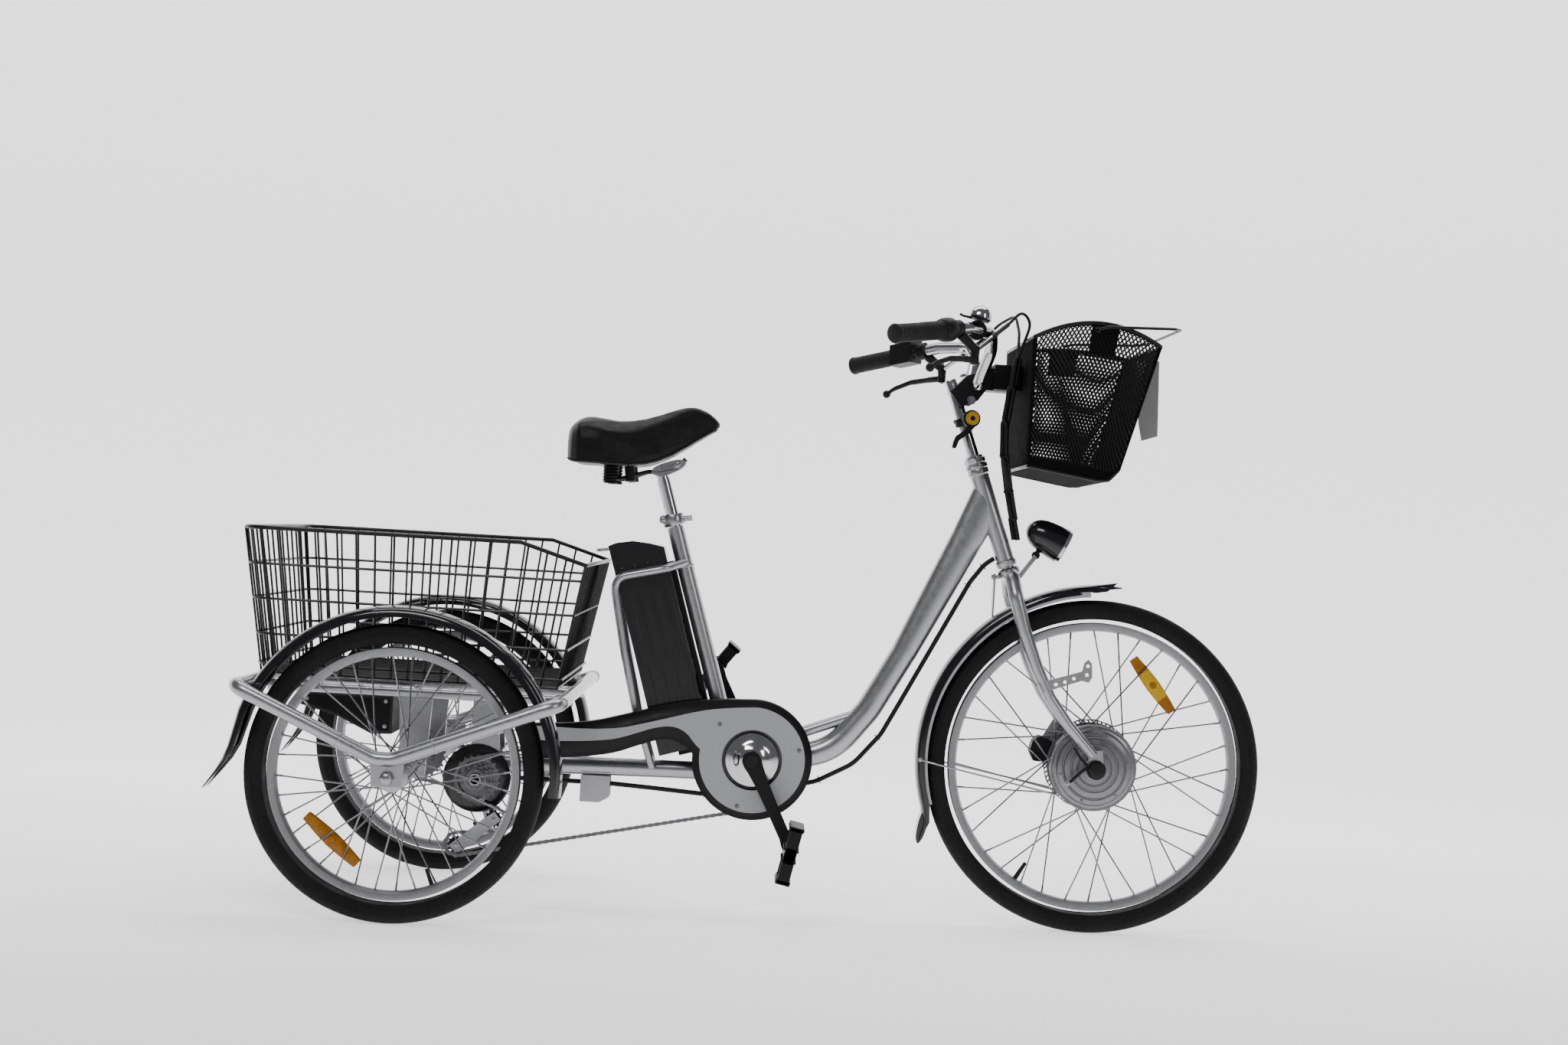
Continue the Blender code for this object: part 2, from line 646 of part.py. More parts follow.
def crank_right():
    """Right arm, chainring with its chrome dish, and the axle through the frame."""
    y = -0.0890
    tip = BB + Vector((math.cos(CRANK_ANGLE), 0, math.sin(CRANK_ANGLE))) * CRANK_LENGTH
    along = (tip - BB).normalized()
    across = Vector((-along.z, 0, along.x))
    outline = []
    for reach, half in ((-0.016, 0.008), (0.0, 0.0175), (0.030, 0.0135), (0.155, 0.0105), (0.182, 0.006)):
        point = BB + along * reach + across * half
        outline.append((point.x, point.z))
    for reach, half in ((0.182, 0.006), (0.155, 0.0105), (0.030, 0.0135), (0.0, 0.0175), (-0.016, 0.008)):
        point = BB + along * reach - across * half
        outline.append((point.x, point.z))
    arm = plate("crank_right", outline, y - 0.0065, y + 0.0065, BLACK_PLASTIC)
    profile = [(0.0, -0.0850), (0.020, -0.0850), (0.034, -0.0760), (0.0485, -0.0715)]
    profile += [(0.0485, -0.0560), (CHAINRING_R, -0.0560), (CHAINRING_R, -0.0540), (0.018, -0.0540)]
    profile += [(0.018, -0.0400), (0.0095, -0.0360), (0.0095, 0.0780), (0.0, 0.0780)]
    ring = turned("chainring", profile, BB, Y_AXIS, STEEL, 28)
    join(arm, ring)
    return cut(arm, disc("pedal_bore_right", tip, y, 0.012, 0.0062, None, 12))


def crank_left():
    y = 0.0840
    tip = BB - Vector((math.cos(CRANK_ANGLE), 0, math.sin(CRANK_ANGLE))) * CRANK_LENGTH
    along = (tip - BB).normalized()
    across = Vector((-along.z, 0, along.x))
    outline = []
    for reach, half in ((-0.018, 0.010), (0.0, 0.0175), (0.030, 0.0135), (0.155, 0.0105), (0.182, 0.006)):
        point = BB + along * reach + across * half
        outline.append((point.x, point.z))
    for reach, half in ((0.182, 0.006), (0.155, 0.0105), (0.030, 0.0135), (0.0, 0.0175), (-0.018, 0.010)):
        point = BB + along * reach - across * half
        outline.append((point.x, point.z))
    arm = plate("crank_left", outline, y - 0.0065, y + 0.0065, BLACK_PLASTIC)
    socket = disc("axle_socket", BB, 0.0700, 0.0090, 0.0098, None, 16)
    bore = disc("pedal_bore_left", tip, y, 0.012, 0.0062, None, 12)
    return cut(arm, socket, bore)


def pedal(name, side, tilt):
    """A block pedal with two tread windows, on a spindle through the crank's tip."""
    reach = Vector((math.cos(CRANK_ANGLE), 0, math.sin(CRANK_ANGLE))) * CRANK_LENGTH
    centre = BB - reach * side
    tilt = math.radians(tilt)
    along = Vector((math.cos(tilt), 0, math.sin(tilt)))
    across = Vector((-along.z, 0, along.x))
    outline = []
    corners = ((-0.052, -0.006), (-0.040, -0.014), (-0.012, -0.010), (0.012, -0.010), (0.040, -0.014))
    corners += ((0.052, -0.006), (0.052, 0.006), (0.040, 0.014), (0.012, 0.010), (-0.012, 0.010))
    corners += ((-0.040, 0.014), (-0.052, 0.006))
    for a, b in corners:
        point = centre + along * a + across * b
        outline.append((point.x, point.z))
    inner, outer = sorted((side * 0.112, side * 0.204))
    body = plate("pedal_" + name, outline, inner, outer, BLACK_PLASTIC)
    for i, offset in enumerate((-0.026, 0.026)):
        middle = centre + along * offset + Y_AXIS * (side * 0.158)
        window = rod(f"window_{name}_{i}", middle - across * 0.03, middle + across * 0.03, 0.015, None, 4)
        cut(body, window)
    start, end = sorted((side * 0.0780, side * 0.150))
    base = Vector((centre.x, 0, centre.z))
    spindle = rod("spindle_" + name, base + Y_AXIS * start, base + Y_AXIS * end, 0.0056, None, 12)
    return join(body, spindle)


def freewheel():
    """Seven sprockets and the guard disc behind them, as one stepped body."""
    profile = [(0.0087, -0.0448), (0.062, -0.0448), (0.062, -0.0463), (0.044, -0.0475)]
    profile += [(0.044, -0.0492), (0.036, -0.0495), (0.036, -0.0506), (0.029, -0.0512)]
    profile += [(SPROCKET_R, -0.0540), (SPROCKET_R, -0.0560), (0.026, -0.0590), (0.026, -0.0640)]
    profile += [(0.018, -0.0680)]
    profile += [(0.0087, -0.0680)]
    return turned("freewheel", profile, JACKSHAFT, Y_AXIS, STEEL, 18, ring=True)


def jackshaft():
    profile = [(0.0, -0.0745), (0.012, -0.0745), (0.012, -0.0685), (0.0083, -0.0685)]
    profile += [(0.0083, AXLE_CHAIN_Y - 0.006), (JACK_SPROCKET_R, AXLE_CHAIN_Y - 0.0015)]
    profile += [(JACK_SPROCKET_R, AXLE_CHAIN_Y + 0.0015), (0.0083, AXLE_CHAIN_Y + 0.006)]
    profile += [(0.0083, 0.0440), (0.012, 0.0440), (0.012, 0.0500), (0.0, 0.0500)]
    return turned("jackshaft", profile, JACKSHAFT, Y_AXIS, STEEL, 14)


# ---------------------------------------------------------------- wheels
def tyre(name, centre, outer, rim):
    """A tyre of rounded section, open inside where the rim sits."""
    half = TYRE_HALF_WIDTH
    bead = rim + 0.0005
    profile = [(bead, -0.0135), ((bead + outer) / 2, -half)]
    profile += [(outer - 0.006, -0.0165), (outer, 0.0)]
    profile += [(radius, -y) for radius, y in reversed(profile[:-1])]
    return turned(name, profile, centre, Y_AXIS, RUBBER, WHEEL_STEPS, ring=True)


def spokes(name, centre, hub_r, flange_y, rim_r, count):
    """Straight spokes from the two flanges to the rim, all leaning the same way on each side."""
    builder = bmesh.new()
    thick = 0.0011
    for k in range(count):
        side = 1 if k % 2 else -1
        angle = 2 * math.pi * k / count
        lean = 0.55 * (1 if k % 2 else -1)
        start = Vector((math.cos(angle + lean) * hub_r, side * flange_y, math.sin(angle + lean) * hub_r))
        end = Vector((math.cos(angle) * rim_r, side * 0.0035, math.sin(angle) * rim_r))
        along = (end - start).normalized()
        first = along.cross(Y_AXIS).normalized() * thick
        second = along.cross(first).normalized() * thick
        rings = []
        for point in (start, end):
            corners = (first + second, first - second, -first - second, second - first)
            rings.append([builder.verts.new(Vector(centre) + point + corner) for corner in corners])
        bridge(builder, rings)
    return finished(name, builder, ALUMINIUM)


def rim(name, centre, outer, hub_profile, hub_r, flange_y, steps):
    """A box-section rim laced to its hub."""
    inner = outer - 0.0150
    profile = [(outer, -0.0130), (outer, 0.0130), (inner, 0.0070), (inner, -0.0070)]
    hoop = turned(name, profile, centre, Y_AXIS, ALUMINIUM, WHEEL_STEPS, ring=True)
    lacing = spokes(name + "_spokes", centre, hub_r, flange_y, inner + 0.004, 12)
    hub = turned(name + "_hub", hub_profile, centre, Y_AXIS, ALUMINIUM, steps, ring=True)
    return join(hoop, hub, lacing)


def rear_rim(name, side):
    centre = REAR_AXLE + Y_AXIS * (TRACK / 2 * side)
    hole = 0.0086
    profile = [(hole, -0.046), (0.017, -0.046), (0.017, -0.034), (0.029, -0.031), (0.029, -0.028)]
    profile += [(0.015, -0.025), (0.015, 0.025), (0.029, 0.028), (0.029, 0.031), (0.017, 0.034)]
    profile += [(0.017, 0.046), (hole, 0.046)]
    return rim("rim_rear_" + name, centre, REAR_RIM_R, profile, 0.0275, 0.0295, 16)


def front_rim():
    """The front rim; its spokes end on two thin flange rings that sit round the motor."""
    profile = [(0.0758, -0.0300), (0.0800, -0.0300), (0.0800, 0.0300), (0.0758, 0.0300)]
    return rim("rim_front", FRONT_AXLE, FRONT_RIM_R, profile, 0.0785, 0.0270, 24)


def hub_motor():
    hole = 0.0072
    profile = [(hole, -0.0500), (0.020, -0.0500), (0.034, -0.0440), (0.066, -0.0400)]
    profile += [(0.0755, -0.0330), (0.0755, 0.0330), (0.066, 0.0400), (0.034, 0.0420)]
    profile += [(0.030, 0.0462), (hole, 0.0462)]
    return turned("hub_motor", profile, FRONT_AXLE, Y_AXIS, ALUMINIUM, 24, ring=True)


def brake_rotor():
    profile = [(0.0170, 0.0466), (0.0800, 0.0466), (0.0800, 0.0484), (0.0170, 0.0484)]
    rotor = turned("brake_rotor", profile, FRONT_AXLE, Y_AXIS, STEEL, 28, ring=True)
    for k in range(6):
        angle = 2 * math.pi * k / 6
        spot = FRONT_AXLE + Vector((math.cos(angle), 0, math.sin(angle))) * 0.046
        cut(rotor, disc(f"rotor_window_{k}", spot, 0.0475, 0.006, 0.016, None, 6))
    return rotor


def front_axle():
    """The fixed axle, with its rubber cap nuts, washers and torque arms."""
    profile = [(0.0, -0.0900), (0.0165, -0.0880), (0.0170, -0.0705), (0.0060, -0.0700)]
    profile += [(0.0060, 0.0720), (0.0170, 0.0725), (0.0165, 0.0900), (0.0, 0.0920)]
    axle = turned("front_axle", profile, FRONT_AXLE, Y_AXIS, RUBBER, 12)
    arm = [(1.236, 0.318), (1.218, 0.318), (1.166, 0.268), (1.174, 0.252), (1.234, 0.290)]
    right = plate("torque_arm_right", arm, -0.0705, -0.0672, STEEL)
    left = plate("torque_arm_left", arm, 0.0672, 0.0725, STEEL)
    return join(axle, right, left)


def rear_axle():
    """The driven axle: it turns with the right wheel and runs free in the left one."""
    profile = [(0.0, -0.4080), (0.0130, -0.4060), (0.0130, -0.3940), (0.0080, -0.3938)]
    profile += [(0.0080, AXLE_CHAIN_Y - 0.008), (0.020, AXLE_CHAIN_Y - 0.0050)]
    profile += [(AXLE_SPROCKET_R, AXLE_CHAIN_Y - 0.0015), (AXLE_SPROCKET_R, AXLE_CHAIN_Y + 0.0015)]
    profile += [(0.020, AXLE_CHAIN_Y + 0.0050), (0.0080, AXLE_CHAIN_Y + 0.008)]
    profile += [(0.0080, 0.3938), (0.0130, 0.3940), (0.0130, 0.4060), (0.0, 0.4080)]
    return turned("rear_axle", profile, REAR_AXLE, Y_AXIS, STEEL, 14)


# ---------------------------------------------------------------- front end
def fork():
    """Steerer, crown, two raked legs with dropouts, the brake's tab and the lamp's bracket."""
    steerer = rod("fork", on_steer(0.640), on_steer(0.8615), 0.0127, SILVER, 14)
    crown_centre = on_steer(0.6460)
    crown = rod("crown", crown_centre - Y_AXIS * 0.054, crown_centre + Y_AXIS * 0.054, 0.0135, SILVER, 12)
    pieces = [crown]
    for name, side in SIDES:
        path = [(1.0580, 0.050, 0.650), (1.0670, 0.060, 0.604), (1.0850, 0.0620, 0.546)]
        path += [(1.1110, 0.0620, 0.482), (1.1370, 0.0620, 0.431), (1.1730, 0.0620, 0.383)]
        path += [(1.222, 0.0610, 0.330)]
        path = [mirrored(point, side) for point in path]
        radii = [0.0130, 0.0135, 0.0132, 0.0127, 0.0120, 0.0110, 0.0090]
        legs = tube("leg_" + name, path, radii, SILVER, 12)
        tab = [(1.213, 0.340), (1.238, 0.340), (1.243, 0.300), (1.236, 0.292), (1.218, 0.292), (1.212, 0.300)]
        low, high = sorted((side * 0.0575, side * 0.0645))
        pieces += [legs, plate("dropout_" + name, tab, low, high, SILVER)]
    brake_tab = [(1.166, 0.392), (1.190, 0.366), (1.146, 0.316), (1.130, 0.328)]
    pieces.append(plate("brake_tab", brake_tab, 0.0670, 0.0705, SILVER))
    lamp = [(1.066, 0.640), (1.072, 0.634), (1.1055, 0.682), (1.0990, 0.687)]
    pieces.append(plate("lamp_bracket", lamp, -0.0085, -0.0065, SILVER))
    join(steerer, *pieces)
    axle = disc("front_axle_bore", FRONT_AXLE, 0.0, 0.10, 0.0064, None, 12)
    stem_bore = bore("stem_bore", on_steer(0.780), on_steer(0.880), 0.0110)
    return cut(steerer, axle, stem_bore)


def stem():
    return rod("stem", on_steer(0.784), on_steer(0.998), 0.0110, CHROME, 14)


BAR_POINTS = [
    (0.972, 0.000, 0.988),
    (0.972, 0.048, 0.989),
    (0.986, 0.088, 1.046),
    (0.979, 0.128, 1.074),
    (0.930, 0.175, 1.075),
    (0.784, 0.298, 1.043),
]
BAR_TIP = Vector(BAR_POINTS[-1])
BAR_KNEE = Vector(BAR_POINTS[-2])
GRIP_AXIS = (BAR_TIP - BAR_KNEE).normalized()


def handlebar():
    left = [Vector(point) for point in BAR_POINTS]
    right = [mirrored(point, RIGHT) for point in reversed(left[1:])]
    return tube("handlebar", rounded(right + left, 0.040), BAR_R, CHROME, 12)


def bar_bore(name):
    """A cutter along the whole bar, for the pieces that clamp onto it."""
    left = [Vector(point) for point in BAR_POINTS]
    right = [mirrored(point, RIGHT) for point in reversed(left[1:])]
    return tube(name, rounded(right + left, 0.040), (BAR_R + GAP) / math.cos(math.pi / 12), None, 12)


def along_grip(side, distance):
    """A point of the bar's straight end, measured back from its tip."""
    return mirrored(BAR_TIP - GRIP_AXIS * distance, side)


def sleeve(name, side, start, end, radii, finish):
    """A sleeve round the bar between two distances from its tip, with its radii in order."""
    axis = mirrored(GRIP_AXIS, side)
    length = end - start
    outer = [(radius, start + length * i / (len(radii) - 1)) for i, radius in enumerate(radii)]
    profile = [(BAR_R + 2 * GAP, start)] + outer + [(BAR_R + 2 * GAP, end)]
    return turned(name, profile, along_grip(side, 0.0), -axis, finish, 16, ring=True)


def grip(name, side, end):
    """A rubber grip; its cap covers the end of the bar."""
    axis = mirrored(GRIP_AXIS, side)
    profile = [(0.0, -0.0060), (0.0130, -0.0060), (0.0170, -0.0030), (0.0165, 0.004)]
    profile += [(0.0158, end), (BAR_R + 2 * GAP, end), (BAR_R + 2 * GAP, -GAP), (0.0, -GAP)]
    return turned(name, profile, along_grip(side, 0.0), -axis, RUBBER, 16)


def stem_clamp():
    """The black clamp that joins the bar to the stem and carries the front basket's socket."""
    outline = [(0.926, 0.975), (0.948, 0.948), (0.978, 0.962), (0.992, 0.982), (1.0535, 0.982)]
    outline += [(1.0535, 1.026), (0.992, 1.022), (0.958, 1.008)]
    body = plate("stem_clamp", outline, -0.021, 0.021, BLACK_PLASTIC)
    wide = block("basket_socket", (1.004, -0.036, 0.983), (1.0535, 0.036, 1.029))
    cam = disc("clamp_cam", Vector((0.966, 0, 0.962)), 0.0, 0.027, 0.0075, None, 12)
    join(body, wide, cam)
    return cut(body, bore("post_hole", on_steer(0.93), on_steer(1.03), 0.0110), bar_bore("bar_hole"))


def lever_housing(piece, name, side, radius):
    """The short barrel between the bar's clamp and the lever's pivot."""
    middle = along_grip(side, 0.158)
    start, end = middle + Vector((0.010, 0, -0.010)), PIVOT[name] + Vector((0, 0, 0.0080))
    return rod(piece, start, end, radius, None, 10)


def brake_bracket(name, side):
    """A clamp round the bar, the lever's housing in front of it and the cable's adjuster."""
    start = 0.150
    ring = sleeve("brake_bracket_" + name, side, start, start + 0.016, [0.0160, 0.0160], BLACK_PLASTIC)
    body = lever_housing("lever_body_" + name, name, side, 0.0085)
    tip = mirrored(ADJUSTER_TIP, side)
    adjuster = rod("adjuster_" + name, PIVOT[name] + Vector((0, 0, 0.006)), tip, 0.0050, None, 8)
    join(ring, body, adjuster)
    return cut(ring, bar_bore("bracket_hole_" + name))


ADJUSTER_TIP = Vector((1.0080, 0.1260, 1.0920))
LEVER_PIVOT_LEFT = Vector((0.9400, 0.1880, 1.0280))
PIVOT = {name: mirrored(LEVER_PIVOT_LEFT, side) for name, side in SIDES}


def brake_lever(name, side):
    """A curved lever with a ball end, hinged in front of the grip."""
    points = [(0.9400, 0.1880, 1.0180), (0.9180, 0.2130, 1.0160), (0.8880, 0.2450, 1.0120)]
    points += [(0.8600, 0.2720, 1.0000), (0.8480, 0.2850, 0.9900)]
    path = [mirrored(point, side) for point in points]
    lever = tube("brake_lever_" + name, path, [0.0060, 0.0058, 0.0048, 0.0042, 0.0050], BLACK_PLASTIC, 8)
    tip = path[-1]
    ball_profile = [(0.0, -0.0080), (0.0056, -0.0056), (0.0080, 0.0), (0.0056, 0.0056), (0.0, 0.0080)]
    ball = turned("lever_ball_" + name, ball_profile, tip, (0, 0, 1), None, 8)
    low, high = path[0] - Vector((0, 0, 0.008)), path[0] + Vector((0, 0, 0.0085))
    hub = rod("lever_hub_" + name, low, high, 0.0080, None, 10)
    join(lever, ball, hub)
    return cut(lever, lever_housing("body_clearance_" + name, name, side, 0.0089))


def control_unit():
    """The display box on the left bar, next to the grip."""
    across = GRIP_AXIS.cross(Vector((0, 0, 1))).normalized()
    sections = []
    for distance in (0.0960, 0.1440):
        middle = along_grip(LEFT, distance)
        corners = ((-0.018, -0.020), (0.026, -0.020), (0.026, 0.020), (-0.018, 0.026))
        sections.append([middle - across * a + Vector((0, 0, b)) for a, b in corners])
    return cut(loft("control_unit", sections, BLACK_PLASTIC), bar_bore("unit_hole"))


def bell():
    """A domed bell with its striker, on a band round the right side of the bar."""
    centre = Vector((0.9460, -0.1580, 1.0740))
    top = centre + Vector((0.004, 0.0, 0.018))
    dome = [(0.0, 0.026), (0.010, 0.0245), (0.017, 0.019), (0.0205, 0.010), (0.0205, 0.0), (0.0, 0.0)]
    body = turned("bell", dome, top, (0.25, 0, 1), CHROME, 18)
    band_half = Vector((0.0, 0.006, 0.0))
    band_ring = rod("bell_band", centre - band_half, centre + band_half, 0.0190, None, 14)
    arm = [top + Vector((-0.014, 0, 0.004)), top + Vector((-0.036, -0.004, 0.008))]
    striker = tube("bell_striker", arm, 0.0025, None, 6)
    join(body, band_ring, striker)
    return cut(body, bar_bore("bell_hole"))


SHIFTER = Vector((0.9660, 0.0, 0.9270))


def shifter_body():
    """The round shifter on the stem: a drum on a band clamp."""
    drum = disc("shifter_body", SHIFTER, -0.0260, 0.0130, 0.0162, BLACK_PLASTIC, 20)
    low, high = on_steer(0.916), on_steer(0.930)
    ring = rod("shifter_band", low, high, 0.0150, None, 16)
    join(drum, ring)
    return cut(drum, bore("shifter_hole", on_steer(0.90), on_steer(0.95), 0.0110))


def shifter_lever():
    y = -0.0430
    hub = disc("shifter_lever", SHIFTER, y, 0.0036, 0.0135, BLACK_PLASTIC, 16)
    blade = [(0.9600, 0.9160), (0.9740, 0.9160), (0.9600, 0.8980), (0.9420, 0.8860)]
    blade += [(0.9370, 0.8700), (0.9310, 0.8730), (0.9370, 0.8930), (0.9500, 0.9030)]
    return join(hub, plate("shifter_blade", blade, y - 0.0050, y + 0.0034))


BASKET_HANDLE_PIVOT = Vector((1.165, 0.0, 1.090))


def front_basket():
    """The tub of the front basket, deeper at the front, with its rim highest in the middle."""
    stations = [
        ((1.0575, 0.125, 0.842), (1.0545, 0.140, 1.068)),
        ((1.1450, 0.128, 0.830), (1.1650, 0.148, 1.106)),
        ((1.2270, 0.120, 0.816), (1.2870, 0.136, 1.074)),
    ]
    return basket_shell("front_basket", stations, 0.004, BLACK_WIRE)


def basket_handle():
    """A wire bail hinged on the middle of the rim, lying forward past the front."""
    left = [(1.165, 0.1545, 1.090), (1.185, 0.1545, 1.096), (1.306, 0.146, 1.101)]
    left += [(1.323, 0.120, 1.103)]
    path = [mirrored(point, RIGHT) for point in left] + [Vector(point) for point in reversed(left)]
    bail = tube("basket_handle", rounded(path, 0.02), 0.0022, BLACK_WIRE, 6)
    return bail


LAMP_PIVOT = Vector((1.1030, 0.0, 0.6860))
LAMP_AXIS = Vector((0.899, 0.0, -0.438)).normalized()
LAMP_FRONT = Vector((1.150, 0.0, 0.706))


def headlight_shell():
    """A bullet-shaped housing with the lug of its tilting joint."""
    profile = [(0.0, -0.0720), (0.0130, -0.0690), (0.0230, -0.0590), (0.0290, -0.0420)]
    profile += [(0.0320, -0.0180), (0.0325, 0.0), (0.0, 0.0)]
    shell = turned("headlight_shell", profile, LAMP_FRONT, LAMP_AXIS, BLACK_GLOSS, 24)
    lug = rod("lamp_lug", LAMP_PIVOT - Y_AXIS * 0.0062, LAMP_PIVOT + Y_AXIS * 0.0062, 0.0075, None, 12)
    neck = rod("lamp_neck", LAMP_PIVOT, LAMP_PIVOT + Vector((0.010, 0, 0.018)), 0.0045, None, 8)
    return join(shell, lug, neck)


def headlight_lens():
    profile = [(0.0, GAP), (0.0325, GAP), (0.0325, 0.0060), (0.0300, 0.0075), (0.0, 0.0090)]
    return turned("headlight_lens", profile, LAMP_FRONT, LAMP_AXIS, GLASS, 24)


def front_mudguard():
    """A curved channel with its flap, a tab to the crown and two wire stays."""
    half, lip, skin = 0.0310, 0.022, 0.0020
    section = [(0, -half), (0, half), (-lip, half), (-lip, half - skin), (-skin, half - skin)]
    section += [(-skin, skin - half), (-lip, skin - half), (-lip, -half)]
    frames = []
    for angle in range(84, 197, 8):
        radius = 0.334 - 0.011 * (angle - 84) / 112
        outward = Vector((math.cos(math.radians(angle)), 0, math.sin(math.radians(angle))))
        frames.append((FRONT_AXLE + outward * radius, outward))
    for x, z, tilt in ((0.922, 0.186, 190), (0.914, 0.148, 183)):
        outward = Vector((math.cos(math.radians(tilt)), 0, math.sin(math.radians(tilt))))
        frames.append((Vector((x, 0, z)), outward))
    guard = swept("front_mudguard", section, frames, BLACK_GLOSS)
    pieces = [block("crown_tab", (1.028, -0.012, 0.5670), (1.0315, 0.012, 0.648))]
    pieces.append(rod("tab_bolt", (1.024, 0, 0.6415), (1.0440, 0, 0.6440), 0.0040, None, 8))
    for name, side in SIDES:
        ends = ((0.9120, 0.0305, 0.302), (0.9300, 0.0400, 0.2985), (1.160, 0.0655, 0.2560))
        path = [mirrored(point, side) for point in ends]
        pieces.append(tube("stay_" + name, path, 0.0020, ALUMINIUM, 6))
    return join(guard, *pieces)


def brake_caliper():
    """The disc brake's caliper, behind the left leg, open where the rotor passes."""
    out = Vector((-0.97, 0, 0.243))
    along = Vector((0.243, 0, 0.97))
    outline = []
    for radial, tangent in ((0.0768, -0.020), (0.100, -0.024), (0.112, -0.010), (0.112, 0.012)):
        outline.append((radial, tangent))
    outline += [(0.102, 0.024), (0.0768, 0.020)]
    points = []
    for radial, tangent in outline:
        point = FRONT_AXLE + out * radial + along * tangent
        points.append((point.x, point.z))
    body = plate("brake_caliper", points, 0.0320, 0.0665, BLACK_PLASTIC)
    return cut(body, disc("rotor_gap", FRONT_AXLE, 0.0475, 0.0024, 0.0850, None, 48))


def cable_bundle():
    """Cables from both levers that meet in one sleeve and run down in front of the stem."""
    sleeve_path = [(1.040, -0.060, 1.040), (1.034, -0.052, 0.985), (1.027, -0.042, 0.925)]
    sleeve_path += [(1.031, -0.030, 0.860), (1.044, -0.018, 0.800), (1.0560, -0.010, 0.750)]
    sleeve_path += [(1.0650, -0.0060, 0.712)]
    spine = tube("cable_bundle", rounded(sleeve_path, 0.06, 2), 0.0080, RUBBER, 8)
    start = ADJUSTER_TIP + Vector((0.0006, -0.0006, 0.0008))
    right = [mirrored(start, RIGHT), (1.036, -0.103, 1.121), (1.058, -0.082, 1.103)]
    right += [(1.042, -0.064, 1.045), (1.036, -0.056, 1.010)]
    left = [start, (1.030, 0.098, 1.118), (1.046, 0.055, 1.128), (1.0460, 0.010, 1.122)]
    left += [(1.046, -0.030, 1.090), (1.041, -0.056, 1.045), (1.036, -0.056, 1.010)]
    pieces = []
    for label, path in (("right", right), ("left", left)):
        pieces.append(tube("cable_" + label, rounded(path, 0.05), 0.0032, None, 6))
    return join(spine, *pieces)


def frame_cable():
    """The cable that the frame holds along the underside of the down tube and the backbone."""
    path = [(1.0130, 0.0, 0.6600), (0.985, 0.0, 0.6300), (0.868, 0.0, 0.400), (0.838, 0.0, 0.342)]
    path += [(0.790, 0.0, 0.285), (0.720, 0.0, 0.247), (0.620, 0.0, 0.233), (0.520, 0.0, 0.214)]
    path += [(0.420, 0.0, 0.220), (0.340, 0.0, 0.224), (0.160, 0.0, 0.2240)]
    return tube("frame_cable", rounded(path, 0.08, 2), 0.0055, RUBBER, 8)


# ---------------------------------------------------------------- saddle
def seatpost():
    """The post, its clamp, the two rails and the springs under the saddle."""
    post = rod("seatpost", on_seat(0.540), on_seat(0.806), SEATPOST_R, CHROME, 14)
    clamp = rod("saddle_clamp", (0.405, -0.026, 0.800), (0.405, 0.026, 0.800), 0.0150, None, 14)
    pieces = [clamp]
    for name, side in SIDES:
        path = [(0.452, 0.020, 0.8150), (0.420, 0.022, 0.7990), (0.385, 0.022, 0.7980)]
        path += [(0.320, 0.052, 0.7800), (0.304, 0.055, 0.7780)]
        points = rounded([mirrored(point, side) for point in path], 0.03)
        pieces.append(tube("rail_saddle_" + name, points, 0.0040, None, 8))
        base = mirrored((0.302, 0.056, 0.0), side)
        low, high = base + Vector((0, 0, 0.7720)), base + Vector((0, 0, 0.8075))
        pieces.append(rod("saddle_spring_" + name, low, high, 0.0130, None, 12))
    return join(post, *pieces)


def saddle():
    """A wide padded saddle that narrows to a raised nose."""
    stations = [
        (0.243, 0.085, 0.842, 0.868),
        (0.262, 0.112, 0.8130, 0.886),
        (0.300, 0.122, 0.8085, 0.889),
        (0.345, 0.108, 0.8085, 0.884),
        (0.385, 0.080, 0.8165, 0.891),
        (0.425, 0.052, 0.8270, 0.905),
        (0.462, 0.034, 0.8460, 0.920),
        (0.495, 0.026, 0.8720, 0.915),
        (0.511, 0.015, 0.8860, 0.902),
    ]
    sections = []
    for x, half, low, high in stations:
        middle, rise = (low + high) / 2, (high - low) / 2
        section = []
        for k in range(14):
            angle = 2 * math.pi * k / 14
            c, s = math.cos(angle), math.sin(angle)
            y = half * math.copysign(abs(c) ** 0.75, c)
            z = middle + rise * math.copysign(abs(s) ** 0.75, s)
            section.append((x, y, z))
        sections.append(section)
    return loft("saddle", sections, VINYL)


# ---------------------------------------------------------------- assembly
main_frame()
seat_clamp()
headset_nut()
carrier_frame()
rear_basket()
controller_box()
battery_dock()
chain_case_back()
chain_case_face()
drive_chain()
axle_chain()
rear_derailleur()
frame_cable()
for side_name, side_sign in SIDES:
    side_hoop(side_name, side_sign)
    rear_mudguard(side_name, side_sign)

steering = pivot("steering_pivot", on_steer(0.75))
hang(steering, fork(), front_axle(), front_mudguard(), brake_caliper())
front_wheel = pivot("front_wheel_pivot", FRONT_AXLE, steering)
front_tyre = tyre("tyre_front", FRONT_AXLE, FRONT_TYRE_R, FRONT_RIM_R)
hang(front_wheel, front_tyre, front_rim(), hub_motor(), brake_rotor())
lamp_pivot = pivot("headlight_pivot", LAMP_PIVOT, steering)
hang(lamp_pivot, headlight_shell(), headlight_lens())

